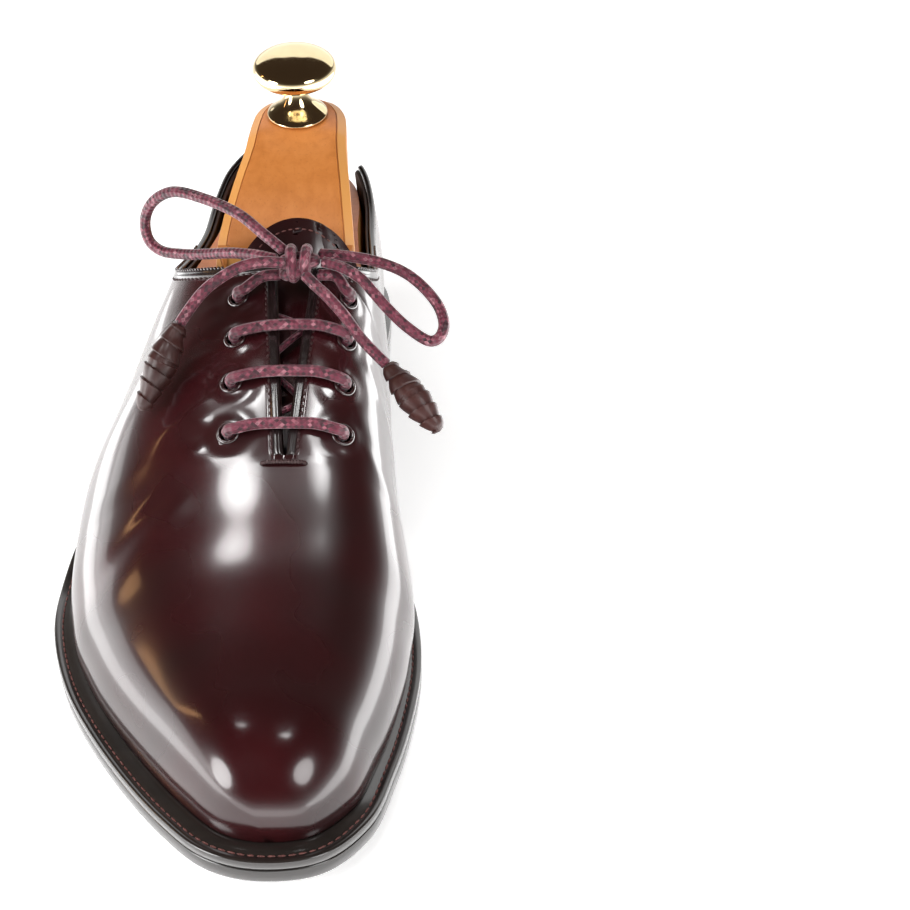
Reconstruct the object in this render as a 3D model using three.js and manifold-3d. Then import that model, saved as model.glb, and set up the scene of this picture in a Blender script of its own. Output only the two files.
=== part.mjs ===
// A right-foot whole-cut oxford shoe on its shoe tree, as an assembly of separate pieces.
// Millimetres. Toe towards -Y, heel towards +Y, inner (medial) side towards +X, +Z up, standing on z = 0.
import * as THREE from 'three';
import { mergeVertices } from 'three/addons/utils/BufferGeometryUtils.js';
import Module from 'manifold-3d';

const wasm = await Module();
wasm.setup();

// ---------------------------------------------------------------- driving dimensions
const soleThickness = 5;
const weltThickness = 3;
const toeSpring = 9;            // how far the toe's tip lifts off the ground
const liftThickness = 5.5;      // each of the three heel lifts
const topPieceThickness = 5.5;  // the layer that meets the ground
const liftCount = 3;
const heelBreastY = 77;         // front face of the heel
const toeWelt = 7.5;            // how far the welt stands out of the upper: toe, sides, waist, heel
const outerWelt = 6.5;
const innerWelt = 4;
const waistWelt = 4;
const heelRand = 3;
const upperThickness = 1.6;
const liningThickness = 1.2;
const stiffenerThickness = 1.2; // heel counter and toe puff
const insoleThickness = 2.4;
const sockThickness = 1;
const tongueThickness = 2;
const tongueWidth = 40;
const seat = 0.3;               // clearance between seated pieces
const laceRadius = 1.75;
const underLaceRadius = 1.1;    // the lace squeezed flat below the facings
const eyeletBore = 2.5;
const eyeletWall = 0.4;
const eyeletFlange = 3.6;
const eyeletRows = [-31, -16, -1, 14];
const eyeletOffset = 17;        // from the lacing's middle line to an eyelet
const lacingX = 17.3;
const throatY = -38;            // front end of the facings
const throatHalfGap = 0.6;      // half the gap between the facings at the throat and at the top
const topHalfGap = 6.6;
const facingTopY = 26;
const nailRadius = 1;
const nailLength = 9.5;
const treeClearance = 0.6;      // between the shoe tree and the lining
const treeSlot = 4;             // gap between the two forepart halves
const treeTubeRadius = 6;
const treeRodRadius = 3.6;
const treeTravel = 7;           // how far the heel block slides towards the toe against its spring
const springWire = 0.9;         // half the wire's thickness
const springTurns = 6;
const knobRadius = 13.9;

// ---------------------------------------------------------------- outlines and profiles
const V = (x, y, z) => new THREE.Vector3(x, y, z);
const clamp01 = (t) => Math.min(1, Math.max(0, t));
const smooth = (t) => clamp01(t) ** 2 * (3 - 2 * clamp01(t));

// A smooth function of y through hand-chosen [y, value] stations.
function stations(table) {
  const slope = table.map((p, i) => {
    const a = table[Math.max(i - 1, 0)];
    const b = table[Math.min(i + 1, table.length - 1)];
    return (b[1] - a[1]) / (b[0] - a[0]);
  });
  return (y) => {
    if (y <= table[0][0]) return table[0][1];
    if (y >= table.at(-1)[0]) return table.at(-1)[1];
    const i = table.findIndex((p) => p[0] > y) - 1;
    const [y0, v0] = table[i];
    const [y1, v1] = table[i + 1];
    const w = y1 - y0;
    const t = (y - y0) / w;
    return v0 * (1 + 2 * t) * (1 - t) ** 2 + slope[i] * w * t * (1 - t) ** 2
      + v1 * t * t * (3 - 2 * t) + slope[i + 1] * w * t * t * (t - 1);
  };
}

// The sole's edge seen from above, from the toe's tip up the outer side to the heel and back down the inner side.
const soleOutline = [
  [16.6, -150], [2.4, -145.5], [-12, -131.5], [-33.2, -102], [-48, -75], [-56, -50], [-57.5, -30], [-55, -8],
  [-47, 14], [-38, 38], [-30, 60], [-25, 84], [-23.5, 108], [-19.5, 127], [-8, 143.5], [10, 150],
  [28, 143.5], [39.5, 127], [43.5, 108], [43, 84], [41, 60], [41, 38], [43.5, 12], [49, -14], [55.5, -40],
  [57.5, -65], [55, -91], [51, -112], [45, -133], [33, -147],
];
const ballY = -60;
const riseStart = -35;
const riseEnd = 64;
const heelHeight = liftThickness * liftCount + topPieceThickness;

function closedCurve(points, count) {
  const curve = new THREE.CatmullRomCurve3(points.map(([x, y]) => V(x, y, 0)), true, 'centripetal');
  return curve.getSpacedPoints(count).slice(0, -1);
}

// Moves a closed outline inwards by margin(y, inner), where inner is 0 on the outer side and 1 on the inner side.
function inset(outline, margin) {
  const n = outline.length;
  return outline.map((p, i) => {
    const along = outline[(i + 1) % n].clone().sub(outline[(i + n - 1) % n]).normalize();
    const move = margin(p.y, (1 - along.y) / 2);
    return V(p.x + along.y * move, p.y - along.x * move, 0);
  });
}

// The outer (lower x) and inner (higher x) edge of a closed outline at each y.
function edges(outline) {
  const toe = outline.reduce((best, p) => (p.y < best.y ? p : best));
  const heel = outline.reduce((best, p) => (p.y > best.y ? p : best));
  return { minY: toe.y, maxY: heel.y, at(y) {
    if (y <= toe.y) return [toe.x, toe.x];
    if (y >= heel.y) return [heel.x, heel.x];
    const hits = outline.map((p, i) => {
      const q = outline[(i + 1) % outline.length];
      return (p.y - y) * (q.y - y) <= 0 && p.y !== q.y ? p.x + (q.x - p.x) * (y - p.y) / (q.y - p.y) : null;
    }).filter((x) => x !== null);
    return [Math.min(...hits), Math.max(...hits)];
  } };
}

const sole = closedCurve(soleOutline, 300);
const outerMargin = stations([[-150, toeWelt], [-120, toeWelt], [-80, outerWelt], [-20, outerWelt],
  [40, waistWelt], [90, heelRand], [149, heelRand]]);
const innerMargin = stations([[-150, toeWelt], [-125, innerWelt + 1.5], [-80, innerWelt], [-20, innerWelt],
  [40, waistWelt], [90, heelRand], [149, heelRand]]);
const weltMargin = (y, inner) => outerMargin(y) * (1 - inner) + innerMargin(y) * inner;
const soleEdge = edges(sole);
const outlineInside = (extra) => edges(inset(sole, (y, inner) => weltMargin(y, inner) + extra));
const feather = outlineInside(0);

// Height of the outsole's underside, and of the plane that the upper is lasted on.
const under = (y) => toeSpring * clamp01((ballY - y) / (ballY - soleEdge.minY)) ** 1.7
  + heelHeight * smooth((y - riseStart) / (riseEnd - riseStart));
const featherZ = (y) => under(y) + soleThickness + weltThickness;

// The last's shape: middle line, ridge height above ground, how round each side's wall is, and how far the wall
// stands out past the feather line where it is widest.
const ridgeX = stations([[feather.minY, 16.8], [-60, 17], [0, lacingX], [26, 16.5], [60, 12], [90, 9.5], [146, 10]]);
const ridgeZ = stations([[-142, 41], [-120, 42], [-100, 44], [-80, 48.5], [-60, 55], [-40, 64.5], [-31, 70.5],
  [-16, 79], [-1, 86], [14, 92.5], [24, 97.5], [40, 110], [60, 126], [90, 138], [146, 142]]);
const outerCurve = stations([[-142, 0.8], [-100, 0.85], [-60, 0.95], [-30, 1], [15, 1.15], [45, 1.4], [90, 1.5],
  [146, 1.5]]);
const outerTuck = stations([[-142, 0.5], [-60, 1.5], [-30, 2.5], [15, 5.5], [45, 7], [90, 2.5], [146, 2]]);
const innerCurve = stations([[-142, 0.8], [-100, 0.7], [-60, 0.62], [-30, 0.58], [15, 0.54], [45, 0.6], [90, 1.5],
  [146, 1.5]]);
const innerTuck = stations([[-142, 0.5], [-100, 1.5], [-60, 3], [-30, 4], [15, 9], [45, 9], [90, 2.5], [146, 2]]);
const tuckHeight = 0.4;         // share of the ridge height over which a wall leans out
const heelLean = stations([[30, 0], [45, 2], [60, 1], [75, -3], [87, -8], [120, -24], [150, -38]]);
const toeClosure = 32;          // length over which the toe's height closes
const ridgeHeight = (y) => {
  const end = clamp01((feather.minY + toeClosure - y) / toeClosure);
  return (ridgeZ(y) - featherZ(y) - seat) * (1 - end ** 2.5) ** (1 / 2.5);
};

// A point of the last's surface: y is the station, turn runs 0 to 1 from the outer feather edge over the ridge.
function lastPoint(y, turn) {
  const angle = Math.PI * turn;
  const rise = Math.sin(angle);
  const run = Math.abs(Math.cos(angle));
  const outer = turn < 0.5;
  const [xOuter, xInner] = feather.at(y);
  const middle = Math.min(Math.max(ridgeX(y), xOuter), xInner);
  const width = outer ? middle - xOuter : xInner - middle;
  const tuck = (outer ? outerTuck(y) : innerTuck(y)) * Math.min(1, width / 18);
  const reach = (width + tuck) * run ** (outer ? outerCurve(y) : innerCurve(y))
    - tuck * Math.max(0, 1 - rise / tuckHeight) ** 2;
  const z = featherZ(y) + seat + ridgeHeight(y) * rise;
  const lean = heelLean(z) * smooth((y - 95) / (feather.maxY - 95));
  return V(middle + (outer ? -1 : 1) * reach, y + lean, z);
}

const alongSteps = 32;
const acrossSteps = 18;
const stationY = (t) => {
  const eased = 0.62 * (1 - Math.cos(Math.PI * t)) / 2 + 0.38 * t;
  return feather.minY + (feather.maxY - feather.minY) * eased;
};
const lastGrid = [];
for (let i = 0; i <= alongSteps; i++) {
  const y = stationY(i / alongSteps);
  lastGrid.push(Array.from({ length: acrossSteps + 1 }, (_, j) => lastPoint(y, j / acrossSteps)));
}
// At the toe's tip the surface closes to a point, and at the heel its two sides meet in one line.
lastGrid[0].forEach((p) => p.copy(lastGrid[0][0]));
lastGrid[alongSteps].forEach((p, j, row) => p.copy(row[Math.min(j, acrossSteps - j)]));

function gridNormal(i, j) {
  if (i === 0) return V(0, -1, 0.25).normalize();
  if (i === alongSteps) return V(0, 1, 0);
  const along = lastGrid[i + 1][j].clone().sub(lastGrid[i - 1][j]);
  const a = lastGrid[i][Math.max(j - 1, 0)];
  const b = lastGrid[i][Math.min(j + 1, acrossSteps)];
  return b.clone().sub(a).cross(along).normalize();
}
const lastNormals = lastGrid.map((row, i) => row.map((_, j) => gridNormal(i, j)));

// The point of the last's surface above plan place (x, y), moved out along the surface's normal by lift.
function onLast(x, y, lift = 0) {
  const outer = x < ridgeX(y);
  let low = outer ? 0.15 : 0.85;
  let high = 0.5;
  for (let k = 0; k < 40; k++) {
    const mid = (low + high) / 2;
    if (outer === (lastPoint(y, mid).x > x)) high = mid;
    else low = mid;
  }
  const turn = (low + high) / 2;
  const d = 0.01;
  const across = lastPoint(y, turn + d).sub(lastPoint(y, turn - d));
  const along = lastPoint(y + 1, turn).sub(lastPoint(y - 1, turn));
  const normal = across.cross(along).normalize();
  return { point: lastPoint(y, turn).addScaledVector(normal, lift), normal };
}

// ---------------------------------------------------------------- solids
function meshGeometry(vertices, triangles) {
  const geometry = new THREE.BufferGeometry();
  geometry.setAttribute('position', new THREE.Float32BufferAttribute(vertices, 3));
  geometry.setIndex(triangles);
  return geometry;
}

function solid(geometry) {
  const bare = geometry.clone();
  bare.deleteAttribute('normal');
  bare.deleteAttribute('uv');
  const merged = mergeVertices(bare, 1e-4);
  const index = Array.from(merged.index.array);
  const kept = [];
  for (let k = 0; k < index.length; k += 3) {
    const [a, b, c] = index.slice(k, k + 3);
    if (a !== b && b !== c && a !== c) kept.push(a, b, c);
  }
  return new wasm.Manifold(new wasm.Mesh({
    numProp: 3,
    vertProperties: new Float32Array(merged.attributes.position.array),
    triVerts: new Uint32Array(kept),
  }));
}

// The largest body of a cut solid, without the slivers that a cut leaves; short edges are merged, so that every
// corner stays distinct.
const mergeTolerance = 0.02;
function toGeometry(manifold) {
  const whole = manifold.decompose().reduce((a, b) => (a.volume() > b.volume() ? a : b));
  const mesh = whole.simplify(mergeTolerance).getMesh();
  return meshGeometry(Array.from(mesh.vertProperties), Array.from(mesh.triVerts));
}

// The last's volume shrunk by depth, carried below the feather line by skirt.
function lastSolid(depth, skirt = 0) {
  const vertices = [];
  const triangles = [];
  const columns = acrossSteps + 3;
  lastGrid.forEach((row, i) => {
    const moved = row.map((p, j) => p.clone().addScaledVector(lastNormals[i][j], -depth));
    const first = moved[0].clone().setZ(moved[0].z - skirt);
    const last = moved.at(-1).clone().setZ(moved.at(-1).z - skirt);
    [first, ...moved, last].forEach((p) => vertices.push(p.x, p.y, p.z));
  });
  for (let i = 0; i < alongSteps; i++) {
    for (let j = 0; j < columns; j++) {
      const a = i * columns + j;
      const b = i * columns + (j + 1) % columns;
      triangles.push(a, b, b + columns, a, b + columns, a + columns);
    }
  }
  return solid(meshGeometry(vertices, triangles));
}

// A slab between two edges, from y0 to y1, whose underside and top follow functions of y.
function slab(edge, bottom, top, y0 = edge.minY, y1 = edge.maxY, count = 44) {
  const vertices = [];
  const triangles = [];
  for (let i = 0; i <= count; i++) {
    const eased = (1 - Math.cos(Math.PI * i / count)) / 2;
    const y = y0 + (y1 - y0) * (0.7 * eased + 0.3 * i / count);
    const [xa, xb] = edge.at(y);
    const tip = (i === 0 && y0 <= edge.minY) || (i === count && y1 >= edge.maxY);
    const [a, b] = tip ? [(xa + xb) / 2, (xa + xb) / 2] : [xa, xb];
    vertices.push(a, y, bottom(y), b, y, bottom(y), b, y, top(y), a, y, top(y));
  }
  for (let i = 0; i < count; i++) {
    for (let j = 0; j < 4; j++) {
      const p = i * 4 + j;
      const q = i * 4 + (j + 1) % 4;
      triangles.push(p, q + 4, q, p, p + 4, q + 4);
    }
  }
  const end = count * 4;
  if (y0 > edge.minY) triangles.push(0, 1, 2, 0, 2, 3);
  if (y1 < edge.maxY) triangles.push(end, end + 2, end + 1, end, end + 3, end + 2);
  return solid(meshGeometry(vertices, triangles));
}

function block(x0, y0, z0, x1, y1, z1) {
  const box = new THREE.BoxGeometry(x1 - x0, y1 - y0, z1 - z0);
  return solid(box.translate((x0 + x1) / 2, (y0 + y1) / 2, (z0 + z1) / 2));
}

// A plan outline carried straight up, and a side profile (y, z) carried straight across.
function upright(points, z0, z1) {
  const shape = new THREE.Shape(points.map(([x, y]) => new THREE.Vector2(x, y)));
  const geometry = new THREE.ExtrudeGeometry(shape, { depth: z1 - z0, bevelEnabled: false });
  return solid(geometry.translate(0, 0, z0));
}

function crosswise(points, x0 = -120, x1 = 120) {
  const shape = new THREE.Shape(points.map(([y, z]) => new THREE.Vector2(y, z)));
  const geometry = new THREE.ExtrudeGeometry(shape, { depth: x1 - x0, bevelEnabled: false });
  const turn = new THREE.Matrix4().makeBasis(V(0, 1, 0), V(0, 0, 1), V(1, 0, 0));
  return solid(geometry.applyMatrix4(turn).translate(x0, 0, 0));
}

// A round piece turned from a profile of [radius, height] points, its axis along dir from point at.
function turned(profile, at, dir, sides = 16) {
  const points = profile.map(([r, h]) => new THREE.Vector2(r, h));
  const geometry = new THREE.LatheGeometry(points, sides);
  const spin = new THREE.Quaternion().setFromUnitVectors(V(0, 1, 0), dir.clone().normalize());
  return geometry.applyQuaternion(spin).translate(at.x, at.y, at.z);
}

function rod(radius, from, to, sides = 12) {
  const dir = to.clone().sub(from);
  return turned([[0, 0], [radius, 0], [radius, dir.length()], [0, dir.length()]], from, dir, sides);
}

// A cord of round section along a smooth curve through the points.
function cord(points, radius, steps, sides = 8) {
  const section = new THREE.Shape();
  for (let k = 0; k < sides; k++) {
    const a = 2 * Math.PI * k / sides;
    section[k ? 'lineTo' : 'moveTo'](radius * Math.cos(a), radius * Math.sin(a));
  }
  section.closePath();
  const extrudePath = new THREE.CatmullRomCurve3(points);
  return new THREE.ExtrudeGeometry(section, { steps, extrudePath });
}

// ---------------------------------------------------------------- finishes
const finish = (color, roughness, metalness = 0) =>
  new THREE.MeshStandardMaterial({ color, roughness, metalness });
const leather = finish(0x3a0d12, 0.15);
const liningLeather = finish(0x6b4630, 0.7);
const soleEdgeLeather = finish(0x2a2220, 0.3);
const soleLeather = finish(0x8a6038, 0.5);
const cork = finish(0x9c7448, 0.9);
const steel = finish(0xb0b2b5, 0.3, 1);
const brass = finish(0xd8bd7a, 0.12, 1);
const rubber = finish(0x1a1817, 0.8);
const laceWax = finish(0x6e1f38, 0.6);
const wrapLeather = finish(0x3b1714, 0.4);
const wood = finish(0xc8813f, 0.45);
const thread = finish(0x2a0a0e, 0.7);

const shoe = new THREE.Group();
function add(name, geometry, material) {
  const shape = geometry instanceof THREE.BufferGeometry ? geometry : toGeometry(geometry);
  const mesh = new THREE.Mesh(shape, material);
  mesh.name = name;
  shoe.add(mesh);
  return mesh;
}

// ---------------------------------------------------------------- sole and heel
const soleTop = (y) => under(y) + soleThickness - seat;
const weltBottom = (y) => under(y) + soleThickness;
const weltTop = (y) => under(y) + soleThickness + weltThickness;
const far = 200;                 // past every piece
const high = 170;
const upperStack = upperThickness + seat + liningThickness;
const stiffenedStack = upperStack + stiffenerThickness + seat;
const weltHold = stiffenedStack + 1.5;   // how far the welt reaches in under the upper

function buildSole() {
  const inner = outlineInside(weltHold);
  const ring = slab(soleEdge, weltBottom, weltTop)
    .subtract(slab(inner, (y) => weltBottom(y) - 2, (y) => weltTop(y) + 2));
  add('outsole', slab(soleEdge, under, soleTop), soleEdgeLeather);
  add('welt', ring.intersect(block(-far, -far, -1, far, heelBreastY, high)), soleEdgeLeather);
  add('heel_rand', ring.intersect(block(-far, heelBreastY + seat, -1, far, far, high)), soleEdgeLeather);

  const shankWide = 7;
  const shankStart = -8;
  const shankEnd = 96;
  const shankOutline = { minY: -far, maxY: far, at: (y) => [ridgeX(y) - 7 - shankWide, ridgeX(y) - 7 + shankWide] };
  const slot = { minY: -far, maxY: far, at: (y) => shankOutline.at(y).map((x, k) => x + (k ? seat : -seat)) };
  const filling = slab(outlineInside(weltHold + seat), weltBottom, weltTop, undefined, undefined, 30);
  add('cork_filler', filling.subtract(slab(slot, (y) => weltBottom(y) - 2, (y) => weltTop(y) + 2,
    shankStart - seat, shankEnd + seat, 12)), cork);
  add('shank', slab(shankOutline, (y) => weltBottom(y) + 0.4, (y) => weltTop(y) - 0.8, shankStart, shankEnd, 12),
    steel);

  const insoleEdge = outlineInside(stiffenedStack + 3 * seat);
  const insoleTop = (y) => featherZ(y) + seat + insoleThickness;
  add('insole', slab(insoleEdge, (y) => featherZ(y) + seat, insoleTop, undefined, undefined, 30), soleLeather);
  add('sock_liner', slab(outlineInside(stiffenedStack + 4 * seat), (y) => insoleTop(y) + seat,
    (y) => insoleTop(y) + seat + sockThickness, -20, undefined, 20), liningLeather);
}

function nailPlaces() {
  const places = [];
  for (let k = 0; k < 5; k++) {
    const a = Math.PI * (k - 0.5) / 4 + Math.PI / 8;
    places.push(V(10 + 21 * Math.cos(a), 112 + 24 * Math.sin(a), 0));
  }
  return places;
}

function buildHeel() {
  const stackEdge = (extra) => edges(inset(sole, () => extra));
  const nailBores = nailPlaces().map((p) => solid(rod(nailRadius + seat, V(p.x, p.y, -1),
    V(p.x, p.y, nailLength + seat), 8)));
  const bored = (layer) => nailBores.reduce((left, bore) => left.subtract(bore), layer);
  const layer = (extra, z0, z1) => slab(stackEdge(extra), () => z0, () => z1, heelBreastY, undefined, 18);
  add('top_piece', bored(layer(1.4, 0, topPieceThickness)), rubber);
  for (let k = 0; k < liftCount; k++) {
    const z0 = topPieceThickness + k * liftThickness;
    const lift = layer(1.1 - 0.35 * k, z0, z0 + liftThickness);
    add(`heel_lift_${liftCount - k}`, k === 0 ? bored(lift) : lift, soleEdgeLeather);
  }
  nailPlaces().forEach((p, k) => {
    add(`heel_nail_${k + 1}`, rod(nailRadius, V(p.x, p.y, 0.1), V(p.x, p.y, nailLength), 8), brass);
  });
}

// ---------------------------------------------------------------- upper
// Side view of the top line: everything above it is open.
const topLine = [[14, 99], [24, 94], [34, 87.5], [46, 80.5], [58, 75.5], [72, 73], [86, 73], [102, 75.3],
  [118, 79.5], [130, 83.5], [140, 87], [160, 92]];
function aboveTopLine(raise = 0) {
  const curve = new THREE.CatmullRomCurve3(topLine.map(([y, z]) => V(0, y, z + raise)));
  const points = curve.getPoints(26).map((p) => [p.y, p.z]);
  return crosswise([...points, [160, high + 20], [14, high + 20]]);
}
const throatWedge = (grow = 0) => upright([
  [lacingX - throatHalfGap - grow, throatY], [lacingX + throatHalfGap + grow, throatY],
  [lacingX + topHalfGap + grow, facingTopY], [lacingX + topHalfGap + grow, facingTopY + 12],
  [lacingX - topHalfGap - grow, facingTopY + 12], [lacingX - topHalfGap - grow, facingTopY],
], 40, high);

const eyelets = [];
eyeletRows.forEach((y, k) => {
  [['lateral', -1], ['medial', 1]].forEach(([side, sign]) => {
    const { point, normal } = onLast(lacingX + sign * eyeletOffset, y);
    eyelets.push({ name: `eyelet_${side}_${k + 1}`, point, normal });
  });
});
const eyeletDrop = upperStack + 0.5;
const holeRadius = eyeletBore + eyeletWall + seat;

function openUpper(shell, raise) {
  let open = shell.subtract(aboveTopLine(raise)).subtract(throatWedge());
  eyelets.forEach(({ point, normal }) => {
    const low = point.clone().addScaledVector(normal, -9);
    const top = point.clone().addScaledVector(normal, 6);
    open = open.subtract(solid(rod(holeRadius, low, top, 12)));
  });
  return open;
}

const counterFront = 92;
const puffBack = -112;
const puffFoot = 16;             // the toe puff stops above the toe's folded-under edge
function buildUpper() {
  const outside = lastSolid(0);
  const back = 2;                // how far the stiffener's pocket is walled in
  add('upper', openUpper(outside.subtract(lastSolid(upperThickness, 8)), 0), leather);

  const liningOuter = lastSolid(upperThickness + seat);
  const core = lastSolid(upperStack, 8);
  const deepCore = lastSolid(stiffenedStack, 8);
  const pocketCore = lastSolid(upperThickness + seat + stiffenerThickness + seat, 8);
  const heelBox = (g) => block(-far, counterFront - g, -1, far, far, 66 + g);
  const toeBox = (g) => block(-far, -far, -1, far, puffBack + g, high);
  const lining = (box) => liningOuter
    .subtract(core.subtract(box(back)))
    .subtract(deepCore)
    .subtract(outside.subtract(pocketCore).intersect(box(0)));
  const vampEnd = -45;
  add('vamp_lining', lining(toeBox).intersect(block(-far, -far, -1, far, vampEnd, high)), liningLeather);
  add('quarter_lining', openUpper(lining(heelBox)
    .intersect(block(-far, vampEnd + seat, -1, far, far, high)), -1), liningLeather);

  const stiffener = lastSolid(upperThickness + 2 * seat)
    .subtract(lastSolid(upperThickness + seat + stiffenerThickness, 8));
  add('heel_counter', stiffener.intersect(heelBox(-seat)), liningLeather);
  add('toe_puff', stiffener.intersect(block(-far, -far, puffFoot, far, puffBack - seat, high)), liningLeather);
}

function buildEyelets() {
  eyelets.forEach(({ name, point, normal }) => {
    const outer = eyeletBore + eyeletWall;
    const profile = [[eyeletBore, -eyeletDrop], [outer, -eyeletDrop], [outer, 0.35], [eyeletFlange, 0.35],
      [eyeletFlange, 0.6], [eyeletBore, 0.6], [eyeletBore, -eyeletDrop]];
    add(name, turned(profile, point, normal, 10), brass);
  });
}

const underPassDepth = upperStack + seat + underLaceRadius + 0.1;
const crossingDepth = underPassDepth + 2 * underLaceRadius + seat;
const tongueDepth = crossingDepth + underLaceRadius + seat;
const tongueTopY = 43;
function buildTongue() {
  const sheet = lastSolid(tongueDepth).subtract(lastSolid(tongueDepth + tongueThickness, 8));
  const outline = [[lacingX - 11, throatY + 3], [lacingX + 11, throatY + 3]];
  const half = tongueWidth / 2;
  outline.push([lacingX + half - 2, -5], [lacingX + half, tongueTopY - 20]);
  for (let k = 0; k <= 10; k++) {
    const a = Math.PI * k / 10;
    outline.push([lacingX + half * Math.cos(a), tongueTopY - 16 + 16 * Math.sin(a)]);
  }
  outline.push([lacingX - half, tongueTopY - 20], [lacingX - half + 2, -5]);
  add('tongue', sheet.intersect(upright(outline, 45, high)), leather);
  const tack = (s) => onLast(lacingX + s, throatY - 2.2, 1).point;
  add('throat_bar_tack', cord([tack(-5.5), tack(0), tack(5.5)], 0.65, 4), thread);
}

// ---------------------------------------------------------------- lace
const eyeletAt = (side, row) => eyelets.find((e) => e.name === `eyelet_${side}_${row}`);

// The way from an eyelet's bore up and over its rim towards the middle line.
function overRim(side, row, end = 2.5) {
  const { point, normal } = eyeletAt(side, row);
  const inward = V(side === 'lateral' ? 1 : -1, 0, 0);
  inward.addScaledVector(normal, -inward.dot(normal)).normalize();
  const step = (run, lift) => point.clone().addScaledVector(inward, run).addScaledVector(normal, lift);
  return [step(0, -end), step(0, -0.6), step(0.15, 1.2), step(1.2, laceRadius + 0.95),
    step(3.4, laceRadius + 1.55)];
}

function buildLacing() {
  for (let row = 1; row <= 3; row++) {
    const y = eyeletRows[row - 1];
    const overTop = [-9, -3, 3, 9].map((s) => onLast(lacingX + s, y + 0.6, laceRadius + 0.75).point);
    add(`lace_bar_${row}`, cord([...overRim('lateral', row), ...overTop, ...overRim('medial', row).reverse()],
      laceRadius, 16), laceWax);
  }
  const runs = [['lateral', 1, 'medial', 2, underPassDepth], ['lateral', 2, 'medial', 4, underPassDepth],
    ['medial', 1, 'lateral', 3, crossingDepth], ['medial', 3, 'lateral', 4, crossingDepth]];
  runs.forEach(([sideA, rowA, sideB, rowB, depth], k) => {
    const a = eyeletAt(sideA, rowA).point;
    const b = eyeletAt(sideB, rowB).point;
    const route = [0, 0.2, 0.4, 0.6, 0.8, 1].map((t) => {
      const end = t === 0 || t === 1;
      return onLast(a.x + (b.x - a.x) * t, a.y + (b.y - a.y) * t, -(end ? underPassDepth : depth)).point;
    });
    add(`lace_under_${k + 1}`, cord(route, underLaceRadius, 7, 6), laceWax);
  });
}

const knot = V(19.4, 16.5, 99.8);
const knotSize = V(6, 5.6, 4.6);
function buildKnot() {
  const ball = new THREE.SphereGeometry(1, 12, 8).scale(knotSize.x, knotSize.y, knotSize.z);
  add('lace_knot', ball.translate(knot.x, knot.y, knot.z), laceWax);
  [['lateral', -1], ['medial', 1]].forEach(([side, sign]) => {
    const rise = [V(knot.x + sign * 11.5, 15, 95.8), V(knot.x + sign * (knotSize.x + 0.1), 16.6, 95.6)];
    add(`lace_riser_${side}`, cord([...overRim(side, 4), ...rise], laceRadius, 9), laceWax);
  });
}

const leftLoop = [[14.4, 20, 102.4], [7.8, 24, 106.2], [0.5, 30, 109.3], [-11.2, 38, 110.7],
  [-22.5, 44, 110.2], [-29.9, 47, 104.7], [-33.0, 48, 97.4], [-32.2, 47, 91.3],
  [-28.6, 45, 88.7], [-20.5, 41, 89.4], [-11.6, 36, 92.2], [-3.4, 31, 95.3],
  [5.1, 26, 97.3], [11.5, 22, 98.1]];
const rightLoop = [[25.7, 21, 100.4], [33.5, 20.5, 100.0], [43.7, 18.5, 99.0], [52.2, 15.5, 96.8],
  [58.4, 11.5, 93.4], [63.0, 6.5, 89.2], [64.2, 2, 85.5], [62.7, -0.5, 83.1],
  [60.0, -1.5, 82.6], [53.3, 0, 86.4], [47.4, 3.5, 90.7], [42.5, 7, 95.0],
  [38.9, 9.5, 98.1], [33.2, 13, 100.0], [27.0, 15.5, 100.7]];
const leftEnd = [[14.9, 12, 102.3], [8.8, 10.5, 103.4], [2.3, 8.5, 102.8], [-3.6, 5.5, 100.7],
  [-8.4, 2.5, 97.9], [-12.5, -1, 94.0], [-15.5, -4, 90.5]];
const rightEnd = [[21.8, 9.5, 99.5], [25.2, 7, 97.1], [28.4, 4.2, 95.4], [33.5, 0, 91.5],
  [39.1, -4.5, 85.5], [43.7, -8.5, 82.3], [46.8, -11, 80.3]];
const leftBarrel = [[-15.8, -4.4, 89.9], [-26.9, -19.5, 69.7]];
const rightBarrel = [[47.3, -11.5, 79.9], [62.8, -27, 67.2]];
const points3 = (list) => list.map(([x, y, z]) => V(x, y, z));

function buildBow() {
  add('lace_loop_left', cord(points3(leftLoop), laceRadius, 24), laceWax);
  add('lace_loop_right', cord(points3(rightLoop), laceRadius, 24), laceWax);
  add('lace_end_left', cord(points3(leftEnd), laceRadius, 9), laceWax);
  add('lace_end_right', cord(points3(rightEnd), laceRadius, 9), laceWax);
  [['left', leftBarrel], ['right', rightBarrel]].forEach(([side, ends]) => {
    const [from, to] = points3(ends);
    const length = from.distanceTo(to);
    const profile = [[0, 0], [2.6, 0], [3.3, 1.5], [3.5, 4], [4.3, 5], [4.8, 9], [5, 13], [4.7, 17], [3.9, 20],
      [3.2, 23], [2.3, length], [0, length]];
    add(`barrel_${side}`, turned(profile, from, to.clone().sub(from), 10), wrapLeather);
  });
}

// ---------------------------------------------------------------- shoe tree
const treeDepth = stiffenedStack + treeClearance;
const treeFloor = (y) => featherZ(y) + 3 * seat + insoleThickness + sockThickness + treeClearance;
const treeAxisStart = V(lacingX - 1, -40, 40);
const treeAxisEnd = V(13.4, 66, 60);
const treeDirection = treeAxisEnd.clone().sub(treeAxisStart).normalize();
const onTreeAxis = (t) => treeAxisStart.clone().addScaledVector(treeDirection, t);
const tubeStart = 14.3;          // distances along the tree's axis: the tube's two ends and the rod's far end
const tubeEnd = 60;
const rodEnd = 112;
const tubeFloor = 4;             // solid wood-side end of the tube
const foreEnd = -2;              // back face of the forepart
const heelBlockFront = 46;
const flangeSeat = V(14, 94, 114.4);
const knobLean = V(0, -0.13, 1).normalize();

function treeFill(y0, y1, top) {
  const region = [];
  for (let k = 0; k <= 12; k++) {
    const y = y0 + (y1 - y0) * k / 12;
    region.push([y, treeFloor(y)]);
  }
  return lastSolid(treeDepth).intersect(crosswise([...region, [y1, top], [y0, top]]));
}

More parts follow.
